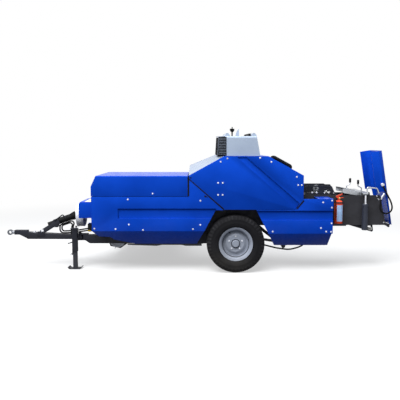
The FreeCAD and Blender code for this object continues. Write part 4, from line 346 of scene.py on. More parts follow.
# %% Blue and grey enamel
def enamel(name, colour, deep, dust_top=0.9, dust_most=0.12, gloss=0.3, ripple=0.02):
    paint = Finish(name, colour, 0.3)
    paint.tint(paint.between(paint.noise(1.7, 3.0), 0.35, 0.7), deep)
    paint.dust(dust_top, dust_most)
    paint.rough(paint.noise(9.0, 1.0), 0.24, 0.32)
    paint.raise_by(paint.noise(420.0, 2.0), ripple, 0.0004)
    paint.raise_by(paint.noise(2.2, 2.0), ripple * 2, 0.004)
    paint.shader.inputs["Specular IOR Level"].default_value = gloss
    paint.shader.inputs["Specular Tint"].default_value = colour
    return paint.material


finishes = {
    "blue": enamel("blue", linear(14, 66, 183), linear(11, 60, 170), gloss=0.22),
    "grey": enamel("grey", linear(160, 173, 191), linear(150, 163, 182), 0.9, 0.03, 0.2, 0.003),
    # Painted shade: a darker copy of the grey enamel, for the front slope cover's brightly lit top.
    "shaded_grey": enamel("shaded_grey", linear(146, 157, 174), linear(140, 151, 169), 0.9, 0.02,
                        0.04, 0.003),
}
print("enamels", list(finishes))

# %% [markdown]
# ### Frame paint, bare steel, castings, rubber and plastic
#
# The frame has thick satin black paint with a slightly orange-peeled surface and brown-grey dust.
# The rims are silver, with dark rings of painted shade, where the rim's groove and the step round
# the hub lie in shadow; the rings follow the distance from the axle. Bare steel is metal with long
# fine scratches, which a noise stretched along one axis gives. Rubber is nearly black and matt,
# greyed by dust, with a bump fine enough to catch no highlight. Each kind is one function, and a
# colour makes it a finish.

# %% Frame paint and rims
def shade(colour, factor):
    return tuple(channel * factor for channel in colour[:3]) + (1,)


def satin_black(name, colour, dust_most=0.12, peel=0.15, gloss=0.18):
    paint = Finish(name, colour, 0.5)
    paint.tint(paint.between(paint.noise(5.0, 5.0), 0.4, 0.72), shade(colour, 1.35))
    paint.dust(0.8, dust_most)
    paint.shader.inputs["Specular IOR Level"].default_value = gloss
    paint.rough(paint.noise(14.0, 5.0), 0.38, 0.62)
    paint.raise_by(paint.noise(260.0, 3.0), peel, 0.0006)
    return paint.material


# Painted shade: dark rings where the rim's groove and the step round the hub lie in shadow.
GROOVE_SHADE_RINGS = ((0.1700, 0.1815, 0.85), (0.0480, 0.0620, 0.9), (0.1360, 0.1420, 0.4))
RING_EDGE = 0.002
RIM_GROOVE_SHADE = linear(36, 37, 42)


def wheel_enamel(name, colour):
    """Silver rim paint, with rings of painted shade in the rim's groove and round the hub."""
    paint = Finish(name, colour, 0.45)
    paint.tint(paint.between(paint.noise(5.0, 5.0), 0.4, 0.72), shade(colour, 0.8))
    paint.dust(0.8, 0.2)
    out = paint.from_axle()
    for inner, outer, strength in GROOVE_SHADE_RINGS:
        rising = paint.between(out, inner, inner + RING_EDGE, 0.0, strength)
        falling = paint.between(out, outer - RING_EDGE, outer, 1.0, 0.0)
        paint.tint(paint.times(rising, falling), RIM_GROOVE_SHADE)
    paint.raise_by(paint.noise(260.0, 3.0), 0.08, 0.0006)
    paint.shader.inputs["Specular IOR Level"].default_value = 0.25
    return paint.material

# %% Metals
def worked_steel(name, colour, low=0.24, high=0.46, stretch=(1, 1, 18)):
    steel = Finish(name, colour, 0.34, 1.0)
    steel.tint(steel.between(steel.noise(7.0, 6.0), 0.45, 0.75), shade(colour, 0.55))
    steel.rough(steel.noise(30.0, 6.0, stretch), low, high)
    steel.raise_by(steel.noise(160.0, 3.0, stretch), 0.12, 0.0005)
    return steel.material


def cast_iron(name, colour):
    iron = Finish(name, colour, 0.6, 0.35)
    iron.tint(iron.between(iron.noise(11.0, 6.0), 0.45, 0.7), shade(colour, 0.6))
    iron.raise_by(iron.noise(330.0, 4.0), 0.4, 0.0012)
    return iron.material

# %% Rubber and plastic
def rubber(name, colour, dusty):
    tyre = Finish(name, colour, 0.78)
    tyre.tint(tyre.between(tyre.noise(6.0, 6.0), 0.4, 0.75), dusty)
    tyre.dust(0.4, 0.10)
    tyre.shader.inputs["Specular IOR Level"].default_value = 0.12
    tyre.raise_by(tyre.noise(190.0, 4.0), 0.22, 0.0008)
    return tyre.material


def moulded(name, colour, low=0.4, high=0.6):
    plastic = Finish(name, colour, 0.5)
    plastic.tint(plastic.between(plastic.noise(8.0, 5.0), 0.45, 0.75), shade(colour, 1.35))
    plastic.rough(plastic.noise(20.0, 4.0), low, high)
    plastic.raise_by(plastic.noise(500.0, 2.0), 0.2, 0.0003)
    plastic.shader.inputs["Specular IOR Level"].default_value = 0.1
    return plastic.material

# %% All finishes
finishes["frame_black"] = satin_black("frame_black", linear(27, 29, 37))
finishes["chamber_grey"] = satin_black("chamber_grey", linear(44, 44, 48), 0.14)
finishes["bare_steel"] = worked_steel("bare_steel", linear(178, 182, 188))
finishes["zinc"] = worked_steel("zinc", linear(214, 216, 222), 0.3, 0.5, (1, 1, 1))
finishes["brass"] = worked_steel("brass", linear(190, 160, 92), 0.25, 0.45, (1, 1, 1))
finishes["cast"] = cast_iron("cast", linear(110, 112, 116))
finishes["black_plastic"] = moulded("black_plastic", linear(12, 13, 15), 0.55, 0.75)
finishes["cord_rubber"] = moulded("cord_rubber", linear(10, 10, 12), 0.55, 0.75)
finishes["nylon"] = moulded("nylon", linear(222, 222, 218))
finishes["pale_plate"] = moulded("pale_plate", linear(236, 226, 176))
finishes["pale_label"] = moulded("pale_label", linear(168, 200, 240))
finishes["drum_grey"] = satin_black("drum_grey", linear(234, 236, 240), 0.02, 0.05, 0.3)
finishes["worn_dark"] = worked_steel("worn_dark", linear(122, 125, 132), 0.35, 0.55)
finishes["louvre_grey"] = satin_black("louvre_grey", linear(84, 90, 101), 0.02, 0.05, 0.1)
finishes["worn_rubber"] = rubber("worn_rubber", linear(24, 24, 27), linear(46, 46, 48))
finishes["ring_black"] = satin_black("ring_black", linear(40, 42, 48), 0.05, 0.05, 0.2)
finishes["cap_yellow"] = moulded("cap_yellow", linear(222, 178, 42))
finishes["cap_red"] = moulded("cap_red", linear(196, 52, 44))
finishes["rim_silver"] = wheel_enamel("rim_silver", linear(150, 157, 171))
finishes["tyre"] = rubber("tyre", linear(17, 17, 20), linear(26, 26, 29))
finishes["spring_dark"] = satin_black("spring_dark", linear(38, 42, 54), 0.1, 0.3, 0.3)
finishes["safety_red"] = enamel("safety_red", linear(214, 78, 52), linear(196, 64, 42), 1.0, 0.1)

SLOT_OF = {row["node"]: row["material_slot"] for row in frame["record"]["subparts"]}
# Painted shade: the front slope cover wears the darker copy of the grey enamel.
OWN_FINISH = {"flywheel": "drum_grey", "front_slope_cover": "shaded_grey",
              "hitch_eye": "worn_dark"}

for name, node in frame["nodes"].items():
    for slot in node.material_slots:
        slot.material = finishes[OWN_FINISH.get(name, SLOT_OF[name])]
print("finished", len(frame["nodes"]), "nodes in", len(finishes), "finishes")

# %% [markdown]
# ## Tools for new pieces
#
# Every new piece starts as a primitive or as one vertex that is extruded along a profile, and is
# then shaped with edit-mode operators, as by hand. An operator acts on everything selected, so each
# helper deselects first. `settle` ends every piece in the same way: its place goes into its mesh,
# it gets a finish, and it rides on the CAD body that it belongs to.

# %% Selecting
AXES = {"X": Vector((1, 0, 0)), "Y": Vector((0, 1, 0)), "Z": Vector((0, 0, 1))}
RADIAL = {"X": AXES["Z"], "Y": AXES["X"], "Z": AXES["X"]}
ONE_POINT = 0.00002
made = []


def deselect():
    if bpy.context.mode != "OBJECT":
        bpy.ops.object.mode_set(mode="OBJECT")
    bpy.ops.object.select_all(action="DESELECT")


def pick(piece):
    deselect()
    piece.select_set(True)
    bpy.context.view_layer.objects.active = piece
    return piece

# %% Lines, turned pieces and plates
def trace(points):
    """A line of vertices, drawn by extruding one vertex from point to point."""
    deselect()
    bpy.ops.mesh.primitive_plane_add(size=0.001, location=points[0])
    line = bpy.context.object
    bpy.ops.object.mode_set(mode="EDIT")
    bpy.ops.mesh.merge(type="CENTER")
    for here, there in zip(points, points[1:]):
        bpy.ops.mesh.extrude_vertices_move(TRANSFORM_OT_translate={"value": there - here})
    return line


def lathe(profile, centre, axis, steps=48):
    """A turned piece. The profile is a list of (radius, station along the axis), in metres."""
    along, out = AXES[axis], RADIAL[axis]
    piece = trace([centre + out * radius + along * station for radius, station in profile])
    bpy.ops.mesh.select_all(action="SELECT")
    bpy.ops.mesh.spin(steps=steps, angle=2 * math.pi, center=centre, axis=along)
    bpy.ops.mesh.select_all(action="SELECT")
    bpy.ops.mesh.remove_doubles(threshold=ONE_POINT)
    bpy.ops.mesh.normals_make_consistent(inside=False)
    bpy.ops.object.mode_set(mode="OBJECT")
    return piece


def slab(points, thickness):
    """A flat plate: an outline of points, filled, and extruded square to its own plane."""
    piece = trace(points)
    bpy.ops.mesh.select_all(action="SELECT")
    bpy.ops.mesh.edge_face_add()
    bpy.ops.mesh.extrude_region_move(TRANSFORM_OT_translate={"value": thickness})
    bpy.ops.mesh.select_all(action="SELECT")
    bpy.ops.mesh.normals_make_consistent(inside=False)
    bpy.ops.object.mode_set(mode="OBJECT")
    return piece

# %% Softening, joining and copying
def soften(piece, width, segments=2, angle=40):
    """Round the edges sharper than an angle."""
    pick(piece)
    bevel = piece.modifiers.new("soft_edges", "BEVEL")
    bevel.width = width
    bevel.segments = segments
    bevel.limit_method = "ANGLE"
    bevel.angle_limit = math.radians(angle)
    bpy.ops.object.modifier_apply(modifier=bevel.name)
    return piece


def join(parts):
    deselect()
    for part in parts:
        part.select_set(True)
    bpy.context.view_layer.objects.active = parts[0]
    if len(parts) > 1:
        bpy.ops.object.join()
    return bpy.context.object


def repeat(model, matrices):
    """Copies of a model, each with its own mesh, joined to one piece; the model itself goes."""
    copies = []
    for matrix in matrices:
        copy = model.copy()
        copy.data = model.data.copy()
        copy.data.transform(matrix)
        bpy.context.scene.collection.objects.link(copy)
        copies.append(copy)
    bpy.data.objects.remove(model)
    return join(copies)

# %% The last step of every piece
def settle(piece, name, body, slot, finish=None, stands_for=(), smooth=35):
    """Put the place into the mesh, give the finish, and let the piece ride on its body."""
    pick(piece)
    bpy.ops.object.transform_apply(location=True, rotation=True, scale=True)
    bpy.ops.object.shade_smooth_by_angle(angle=math.radians(smooth))
    piece.name = piece.data.name = name
    piece.data.materials.clear()
    piece.data.materials.append(finishes[finish or slot])
    if stands_for:
        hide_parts(*stands_for)
    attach(piece, body)
    made.append(name)
    print(f"{name}: {len(piece.data.polygons)} faces on {body}")
    deselect()

# %% [markdown]
# ## The pull cord on the chute
#
# A loop of rubber-covered rope hangs from a stud on the chute, so that someone on the ground can
# pull the chute down. It is one smooth curve through a few control points: it drops from the stud,
# runs round the bottom of its loop and rises to its hook. A cord could also be simulated, but a
# short loop of stiff rope keeps its set, and a spline states it in twelve points. The route is in
# millimetres to the rear of the start and up from it.

# %% Pull cord
CORD_ROUTE = [(0, 0), (34, -66), (70, -140), (110, -208), (135, -285), (128, -337), (92, -374),
              (40, -383), (-6, -360), (-31, -315), (-28, -250), (-17, -188)]
CORD_DIAMETER = 0.022
STUD_X, STUD_Z = 1.988, 1.152
FIRST_RUN = Vector((CORD_ROUTE[1][0], 0, CORD_ROUTE[1][1])).normalized()
CORD_START = at(STUD_X, 0.284, STUD_Z) + FIRST_RUN * 0.012


def curve_length(curve):
    mesh = bpy.data.meshes.new_from_object(curve)
    line = [vertex.co.copy() for vertex in mesh.vertices]
    bpy.data.meshes.remove(mesh)
    return sum((b - a).length for a, b in zip(line, line[1:]))


def make_cord():
    data = bpy.data.curves.new("pull_cord", "CURVE")
    data.dimensions = "3D"
    spline = data.splines.new("NURBS")
    spline.points.add(len(CORD_ROUTE) - 1)
    for point, (x, z) in zip(spline.points, CORD_ROUTE):
        point.co = (*(CORD_START + Vector((x / 1000, 0, z / 1000))), 1)
    spline.order_u = 3
    spline.use_endpoint_u = True
    spline.resolution_u = 10
    cord = bpy.data.objects.new("pull_cord", data)
    bpy.context.scene.collection.objects.link(cord)
    length = curve_length(cord)
    data.bevel_depth = CORD_DIAMETER / 2
    data.bevel_resolution = 4
    data.use_fill_caps = True
    data.materials.append(finishes["cord_rubber"])
    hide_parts("chute_cord")
    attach(cord, "chute")
    print("pull cord", round(length, 3), "m")


make_cord()

# %% [markdown]
# ## Sheet edges
#
# The CAD sheets have knife-sharp edges. Real sheet is folded over a small radius and its cut edges
# are deburred, and that thin round edge is what catches the light and shows a fold from far away.
# Each painted sheet is therefore copied, its loose triangles are merged and its flat faces joined,
# and a bevel modifier rounds every edge by about the sheet's own fold radius, in metres below.

# %% Round the sheets' edges
SHEETS = {
    "hood": 0.004, "front_skirt": 0.003, "rear_skirt": 0.003, "left_tall_panel": 0.003,
    "right_tall_panel": 0.003, "front_slope_cover": 0.002, "rear_slope_cover": 0.002,
    "flywheel_cover": 0.0018, "chute": 0.0018, "feeder_cover": 0.002, "feeder_end_plate": 0.002,
    "rear_deck": 0.002, "drawbar": 0.004, "hitch_tongue": 0.004, "main_beam": 0.004,
    "axle": 0.004, "jack_tube": 0.002, "jack_leg": 0.002, "shaft_prop": 0.002,
    "tension_rails": 0.002, "knotter_frame": 0.002, "lower_tension_rail": 0.002,
    "front_frame": 0.003, "gearbox": 0.004,
}


FLAT, FOLD = 0.4, 28


def edge_sheet(node, width):
    piece = frame["nodes"][node].copy()
    piece.data = frame["nodes"][node].data.copy()
    for key in [key for key in piece.keys() if key.startswith("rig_")]:
        del piece[key]
    piece.parent = None
    bpy.context.scene.collection.objects.link(piece)
    pick(piece)
    bpy.ops.mesh.customdata_custom_splitnormals_clear()
    bpy.ops.object.mode_set(mode="EDIT")
    bpy.ops.mesh.select_all(action="SELECT")
    bpy.ops.mesh.remove_doubles(threshold=ONE_POINT)
    bpy.ops.mesh.dissolve_limited(angle_limit=math.radians(FLAT))
    bpy.ops.object.mode_set(mode="OBJECT")
    soften(piece, width, 2, FOLD)
    settle(piece, node + "_edged", frame["nodes"][node]["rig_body"], SLOT_OF[node],
           OWN_FINISH.get(node), (node,), 32)


for node, width in SHEETS.items():
    edge_sheet(node, width)

# %% [markdown]
# ## Tyres
#
# An implement tyre has a flat tread with straight ribs, and short lugs on its shoulders that grip
# in a turn. The carcass is one profile spun round the axle: a bead, a bulging sidewall with raised
# rings, a square shoulder and three grooves in the tread. A lug is a block that is bevelled, and
# copied round both shoulders. Displacing a tread by a texture would be quicker, but its edges would
# be soft, and the lugs are what the outline shows.

# %% Tyre profile
WHEELS = {"left": 0.132, "right": 2.328}
TREAD_RADIUS, TREAD_HALF = 0.3845, 0.092
GROOVE_DEPTH, GROOVE_HALF = 0.009, 0.005
GROOVES = (-0.052, 0.0, 0.052)
SIDEWALL = [(0.2075, 0.080), (0.226, 0.097), (0.233, 0.106), (0.237, 0.116), (0.243, 0.118),
            (0.247, 0.1235), (0.262, 0.1285), (0.279, 0.1312), (0.283, 0.1320), (0.287, 0.1312),
            (0.304, 0.1302), (0.320, 0.1278), (0.326, 0.1290), (0.331, 0.1275), (0.344, 0.1220),
            (0.353, 0.1150), (0.364, 0.1050)]


def tread_radius(y):
    """The tread is slightly crowned: it falls away from the middle by a few millimetres."""
    return TREAD_RADIUS - 0.006 * (y / TREAD_HALF) ** 2


def tyre_profile():
    tread = [(tread_radius(TREAD_HALF), TREAD_HALF)]
    for groove in reversed(GROOVES):
        top = tread_radius(groove)
        tread += [(top, groove + GROOVE_HALF), (top - GROOVE_DEPTH, groove + GROOVE_HALF * 0.7),
                  (top - GROOVE_DEPTH, groove - GROOVE_HALF * 0.7), (top, groove - GROOVE_HALF)]
    tread.append((tread_radius(TREAD_HALF), -TREAD_HALF))
    inner = [(0.2075, -0.080), (0.240, -0.070), (0.330, -0.085), (0.330, 0.085), (0.240, 0.070),
             (0.2075, 0.080)]
    return SIDEWALL + tread + [(r, -y) for r, y in reversed(SIDEWALL)] + inner[1:]

# %% Lugs and tyres
LUGS = 46
LUG_LONG, LUG_ACROSS, LUG_DEEP, LUG_LEAN = 0.024, 0.054, 0.014, -62
SHOULDER_OUT, SHOULDER_UP = 0.1130, 0.3500


def make_lug():
    """One shoulder lug at the top of a tyre, lying on the slope from the tread to the sidewall."""
    deselect()
    bpy.ops.mesh.primitive_cube_add(size=1, location=(0, 0, 0))
    lug = bpy.context.object
    bpy.ops.object.mode_set(mode="EDIT")
    bpy.ops.transform.resize(value=(LUG_LONG, LUG_ACROSS, LUG_DEEP))
    bpy.ops.object.mode_set(mode="OBJECT")
    soften(lug, 0.0025, 1)
    lug.data.transform(Matrix.Rotation(math.radians(LUG_LEAN), 4, "X"))
    return lug


def make_tyre(side, y):
    centre = at(0, y, AXLE_Z)
    carcass = lathe(tyre_profile(), centre, "Y", 96)
    places = []
    for direction in (-1, 1):
        shoulder = Vector((0, direction * SHOULDER_OUT, SHOULDER_UP))
        for index in range(LUGS):
            turn = Matrix.Rotation(2 * math.pi * (index + (direction > 0) * 0.5) / LUGS, 4, "Y")
            flip = Matrix.Rotation(math.pi if direction < 0 else 0, 4, "Z")
            places.append(Matrix.Translation(centre) @ turn @ Matrix.Translation(shoulder) @ flip)
    settle(carcass, f"{side}_tyre_tread", f"{side}_wheel", "tyre", None, (f"{side}_tyre",), 30)
    settle(repeat(make_lug(), places), f"{side}_tyre_lugs", f"{side}_wheel", "tyre",
           "worn_rubber")


for side, y in WHEELS.items():
    make_tyre(side, y)

# %% [markdown]
# ## Wheel nuts, hub caps, seals and valves
#
# Five studs hold each rim, with a flat washer and a hexagon nut on every one. A pressed cap closes
# the hub, and a black seal lies round it. A hexagon is a six-sided cylinder whose top edges are
# bevelled. The cap, the seal and the valve are turned from their profiles.

# %% A nut
def make_nut(across, tall, stud_tall):
    """A nut with its washer and the stud's end, standing up along +Z from the origin."""
    deselect()
    bpy.ops.mesh.primitive_cylinder_add(vertices=6, radius=across * 0.577, depth=tall,
                                        location=(0, 0, tall / 2 + 0.002))
    nut = soften(bpy.context.object, across * 0.07, 1)
    washer = lathe([(0, 0.0003), (across * 0.8, 0.0003), (across * 0.8, 0.0016),
                    (across * 0.74, 0.0024), (0, 0.0024)], Vector(), "Z", 18)
    stud = lathe([(0, 0.001), (across * 0.3, 0.001), (across * 0.3, tall + stud_tall - 0.001),
                  (across * 0.24, tall + stud_tall), (0, tall + stud_tall)], Vector(), "Z", 12)
    return join([nut, washer, stud])


def facing(direction):
    """The turn that takes +Z to a direction."""
    return Vector(direction).to_track_quat("Z", "Y").to_matrix().to_4x4()


def turned(profile, place, direction, steps=40):
    """A turned piece that stands up from a place in a direction."""
    piece = lathe(profile, Vector(), "Z", steps)
    piece.data.transform(Matrix.Translation(place) @ facing(direction))
    return piece

# %% Nuts, caps, seals and valves
STUD_CIRCLE, STUD_OUT = 0.090, 0.046
VALVE_CIRCLE, VALVE_OUT, VALVE_ANGLE, VALVE_LEAN = 0.178, 0.060, math.radians(118), 0.35
HUB_CAP = [(0, 0.096), (0.010, 0.0955), (0.012, 0.0935), (0.022, 0.0925), (0.034, 0.0885),
           (0.041, 0.082), (0.0435, 0.072), (0.0505, 0.070), (0.0505, 0.067), (0.030, 0.067)]
HUB_SEAL = [(0.0490, 0.0462), (0.0600, 0.0462), (0.0612, 0.0474), (0.0600, 0.0490),
            (0.0500, 0.0520), (0.0490, 0.0462)]
VALVE = [(0, 0), (0.007, 0), (0.007, 0.010), (0.0045, 0.014), (0.0045, 0.030),
         (0.0055, 0.031), (0.0055, 0.040), (0, 0.041)]


def on_disc(angle, radius, out):
    """A place on the rim's disc, from the wheel's middle."""
    return Vector((math.cos(angle) * radius, out, math.sin(angle) * radius))


def dress_wheel(side, y, outward):
    centre, body, away = at(0, y, AXLE_Z), f"{side}_wheel", (0, outward, 0)
    spots = [on_disc(math.radians(90 + 72 * index), STUD_CIRCLE, outward * STUD_OUT)
             for index in range(5)]
    nuts = repeat(make_nut(0.021, 0.014, 0.006),
                  [Matrix.Translation(centre + spot) @ facing(away) for spot in spots])
    cap = turned(HUB_CAP, centre, away)
    settle(join([nuts, cap]), f"{side}_wheel_nuts", body, "bare_steel", "zinc")
    settle(turned(HUB_SEAL, centre, away), f"{side}_hub_seal", body, "frame_black", "ring_black")
    foot = centre + on_disc(VALVE_ANGLE, VALVE_CIRCLE, outward * VALVE_OUT)
    lean = on_disc(VALVE_ANGLE, -VALVE_LEAN, outward)
    settle(turned(VALVE, foot, lean, 16), f"{side}_valve", body, "black_plastic")


for side, y in WHEELS.items():
    dress_wheel(side, y, -1 if side == "left" else 1)

# %% [markdown]
# ## Bolts through the sheets
#
# Sheets are held by zinc-plated cap bolts with washers. Each has a round, slightly domed head, so
# one turned profile makes it. It is copied to every place where a cover meets a bracket. Bolts
# that pass through one cover ride with that cover.

# %% Bolt heads
BOLT, HOOD_BOLT, PLUG, FRAME_PLUG = 0.0112, 0.0100, 0.010, 0.008
COVER_Y = 0.030
LEFT, UP = (0, -1, 0), (0, 0, 1)


def make_bolt(radius):
    """A domed bolt head on its washer, standing up along +Z from the origin."""
    return lathe([(0, -0.001), (radius, -0.001), (radius, 0.0014), (radius * 0.72, 0.0018),
                  (radius * 0.68, 0.0045), (radius * 0.5, 0.0068), (0, 0.0078)],
                 Vector(), "Z", 14)


def bolt_row(name, body, radius, stations, finish="zinc", y=COVER_Y):
    """Bolts that face left, at stations (x, z)."""
    places = [Matrix.Translation(at(x, y, z)) @ facing(LEFT) for x, z in stations]
    settle(repeat(make_bolt(radius), places), name, body, "bare_steel", finish)


bolt_row("front_skirt_bolts", "chassis", BOLT, [
    (-1.413, 0.980), (-1.404, 0.648), (-1.857, 0.595), (-1.579, 0.589), (-1.219, 0.578),
    (-0.468, 0.645), (-0.565, 0.588), (-0.466, 0.963)])
bolt_row("hood_bolts", "hood", HOOD_BOLT, [(-1.089, 1.056)])
bolt_row("tall_panel_bolts", "chassis", BOLT, [
    (-0.205, 1.470), (-0.117, 1.513), (0.306, 1.520), (0.452, 1.468),
    (-0.236, 1.196), (-0.177, 1.196), (-0.236, 1.039), (-0.177, 1.039),
    (0.785, 1.274), (0.804, 1.167), (0.852, 1.167)])
bolt_row("rear_skirt_bolts", "chassis", BOLT, [
    (0.482, 0.556), (1.135, 0.941), (1.250, 0.964), (1.250, 0.872), (1.250, 0.665),
    (1.113, 0.603), (1.182, 0.556), (1.246, 0.553)])
bolt_row("panel_plugs", "chassis", PLUG, [(-0.592, 1.262)], "black_plastic")
print("bolt rows", [name for name in made if "bolts" in name])

# %% [markdown]
# ## Blank plate
#
# The flywheel cover carries a blank plate. It is a thin outline, extruded by a millimetre and
# softened, because even a sticker shows a thin edge.

# %% Blank plate
PLATE = [(-2.045, 0.345), (-1.915, 0.345), (-1.915, 0.745), (-2.045, 0.745)]
PLATE_Z, PLATE_THICK = 0.9131, 0.0012
plate = slab([at(x, y, PLATE_Z) for x, y in PLATE], Vector((0, 0, PLATE_THICK)))
soften(plate, PLATE_THICK * 0.4, 1)
settle(plate, "cover_plate", "chassis", "grey", "pale_plate")

# %% [markdown]
# ## Dark edges round the covers
#
# Where a cover closes on the next one, the gap lies in shade, and black strips are painted shadow
# for it. They show as a fine black line along the front of the tall panel and below the hood, and
# they are thicker behind the hood.

# %% Strips of painted shadow
GAP_SHADOW_THICK = 0.003
ON_COVER = COVER_Y - 0.0002


def shadow_strip(name, stations, width, y):
    """A black strip of painted shadow along stations (x, z) on a left face, as wide as given."""
    ends = [Vector((x, 0, z)) for x, z in stations]
    run = (ends[-1] - ends[0]).normalized()
    off = Vector((-run.z, 0, run.x)) * width / 2
    line = [at(*(spot + off)) for spot in ends] + [at(*(spot - off)) for spot in reversed(ends)]
    piece = slab([spot + Vector((0, y, 0)) for spot in line], Vector((0, -GAP_SHADOW_THICK, 0)))
    soften(piece, GAP_SHADOW_THICK * 0.35, 1)
    settle(piece, name, "chassis", "black_plastic")


# Painted shadow: black strips in the gaps at the covers' edges, and black sheets behind them.
shadow_strip("panel_gap_shadow", [(-0.620, 1.247), (-0.160, 0.850)], 0.012, ON_COVER)
shadow_strip("panel_gap_shadow_backing", [(-0.640, 1.265), (-0.130, 0.825)], 0.060, COVER_Y + 0.012)
shadow_strip("hood_rear_gap_shadow", [(-0.6225, 1.272), (-0.6225, 1.020)], 0.021, ON_COVER)
shadow_strip("hood_gap_shadow_backing", [(-1.880, 1.014), (-0.600, 1.014)], 0.026, COVER_Y + 0.014)
shadow_strip("rear_panel_gap_shadow", [(0.793, 0.850), (0.884, 0.962)], 0.014, ON_COVER)

# %% [markdown]
# ## Flaps, pads and guards
#
# Behind the bright covers stand plain black parts that close the view: a flap in front of the
# wheel, a stiffener along the skirt's foot and a guard beside the knotters. A pad sits on the front
# panel, and a small black corner is painted shadow for the dark notch in the seam behind the hood.
# Each is an outline drawn in machine stations, extruded to a plate and softened.

# %% Black panels
def panel(name, slot, stations, y, thick, edge=0.001, finish=None):
    """A plate parallel to the machine's side, from an outline of stations (x, z)."""
    piece = slab([at(x, y, z) for x, z in stations], Vector((0, thick, 0)))
    soften(piece, edge, 1)
    settle(piece, name, "chassis", slot, finish)


panel("wheel_flap", "frame_black",
      [(-0.445, 0.350), (-0.300, 0.350), (-0.300, 0.585), (-0.330, 0.615), (-0.445, 0.615)],
      0.292, 0.004)
panel("skirt_stiffener", "frame_black",
      [(-1.440, 0.374), (-1.440, 0.356), (-1.050, 0.343), (-0.980, 0.356), (-0.720, 0.356),
       (-0.660, 0.343), (-0.450, 0.343), (-0.450, 0.374)], 0.1465, 0.005)
panel("panel_pad", "black_plastic",
      [(-1.943, 0.572), (-1.889, 0.572), (-1.889, 0.668), (-1.928, 0.668), (-1.943, 0.652)],
      0.034, -0.006, 0.0025)
# Painted shadow: a black corner where the notch in the seam behind the hood lies in shade.
panel("seam_notch_shadow", "black_plastic",
      [(-0.414, 1.034), (-0.414, 1.007), (-0.364, 1.007)], ON_COVER, -0.0015, 0.0004)
panel("knotter_guard", "frame_black",
      [(0.985, 1.016), (1.440, 1.016), (1.428, 1.080), (1.400, 1.122), (1.000, 1.126),
       (0.985, 1.110)], 0.786, 0.003)

# %% [markdown]
# ## End cap of the reel
#
# A dished steel cap closes the near end of the pick-up's reel and turns with it. It is a shallow
# bowl with a rolled rim and a boss for the shaft, so it is turned from half its section.

# %% Reel end cap
reel_cap = lathe([(0, -0.016), (0.018, -0.016), (0.020, -0.012), (0.020, -0.006), (0.030, -0.005),
                  (0.100, -0.002), (0.106, -0.008), (0.126, -0.008), (0.130, -0.004),
                  (0.130, 0.004), (0, 0.004)], at(-1.690, 0.905, 0.312), "Y", 56)
settle(reel_cap, "reel_end_cap", "pickup_reel", "bare_steel", "worn_dark")

# %% [markdown]
# ## Louvres of the air intake
#
# Each side of the air intake has a black panel with sloping blades, so that air gets in and chaff
# stays out, and a post along its front corner. One blade is a softened slab, tipped down outwards.
# It is copied up the panel with a small shift, because the panel leans back.

# %% Louvred sides
LOUVRES, LOUVRE_PITCH, LOUVRE_LEAN = 11, 0.0205, 0.0006
LOUVRE_FOOT_X, LOUVRE_FOOT_Z = -0.182, 1.5655
LOUVRE_PANEL = [(-0.2440, 1.5460), (-0.1270, 1.5460), (-0.1310, 1.7900), (-0.2300, 1.7900)]
LOUVRE_POST = [(-0.2490, 1.5440), (-0.2390, 1.5440), (-0.2245, 1.7920), (-0.2345, 1.7920)]
BLADE_HALF, BLADE_OUT, BLADE_DROP, BLADE_THICK = 0.048, 0.007, 0.003, 0.0045
for side, y, outward in (("left", 0.0655, -1), ("right", 1.0145, 1)):
    panel(f"{side}_louvre_panel", "black_plastic", LOUVRE_PANEL, y, outward * 0.0085)
    blade = slab([Vector((-BLADE_HALF, 0, 0)), Vector((BLADE_HALF, 0, 0)),
                  Vector((BLADE_HALF, outward * BLADE_OUT, -BLADE_DROP)),
                  Vector((-BLADE_HALF, outward * BLADE_OUT, -BLADE_DROP))],
                 Vector((0, 0, BLADE_THICK)))
    soften(blade, 0.0008, 1)
    outer_y = y + outward * 0.008
    places = [Matrix.Translation(at(LOUVRE_FOOT_X + index * LOUVRE_LEAN, outer_y,
                                    LOUVRE_FOOT_Z + index * LOUVRE_PITCH))
              for index in range(LOUVRES)]
    settle(repeat(blade, places), f"{side}_louvres", "chassis", "grey", "louvre_grey")
    panel(f"{side}_louvre_post", "grey", LOUVRE_POST, outer_y, outward * 0.003, 0.0006,
          "louvre_grey")

# %% [markdown]
# ## Fire bottle
#
# The bottle is a pressed steel cylinder with a blank sleeve, a strap, a brass gauge and a short
# black hose. The sleeve and the strap are parts of a turned ring a third of a millimetre off the
# steel. The hose is fixed, so it isn't a cord with a route of its own: a curve through six points
# is given a thickness and turned into a mesh.

# %% Label sleeve and strap
BOTTLE = at(1.397, 0.262, 0.612)
BOTTLE_RADIUS = 0.056


def arc_sleeve(name, radius, low, high, first, last, thick, slot, finish, steps=20):
    """Part of a ring round the bottle, between two angles seen from above."""
    profile = [(radius, low), (radius + thick, low + thick), (radius + thick, high - thick),
               (radius, high)]
    piece = trace([BOTTLE + AXES["X"] * r + AXES["Z"] * z for r, z in profile])
    bpy.ops.mesh.select_all(action="SELECT")
    bpy.ops.transform.rotate(value=math.radians(-first), orient_axis="Z", center_override=BOTTLE)
    bpy.ops.mesh.select_all(action="SELECT")
    bpy.ops.mesh.spin(steps=steps, angle=math.radians(first - last), center=BOTTLE, axis=AXES["Z"])
    bpy.ops.mesh.select_all(action="SELECT")
    bpy.ops.mesh.normals_make_consistent(inside=False)
    bpy.ops.object.mode_set(mode="OBJECT")
    settle(piece, name, "chassis", slot, finish)


arc_sleeve("bottle_label", BOTTLE_RADIUS + 0.0003, 0.050, 0.270, 235, 325, 0.0006, "grey",
           "pale_label")
arc_sleeve("bottle_strap", BOTTLE_RADIUS + 0.0004, 0.292, 0.312, 0, 359.9, 0.003, "frame_black",
           "frame_black", 40)

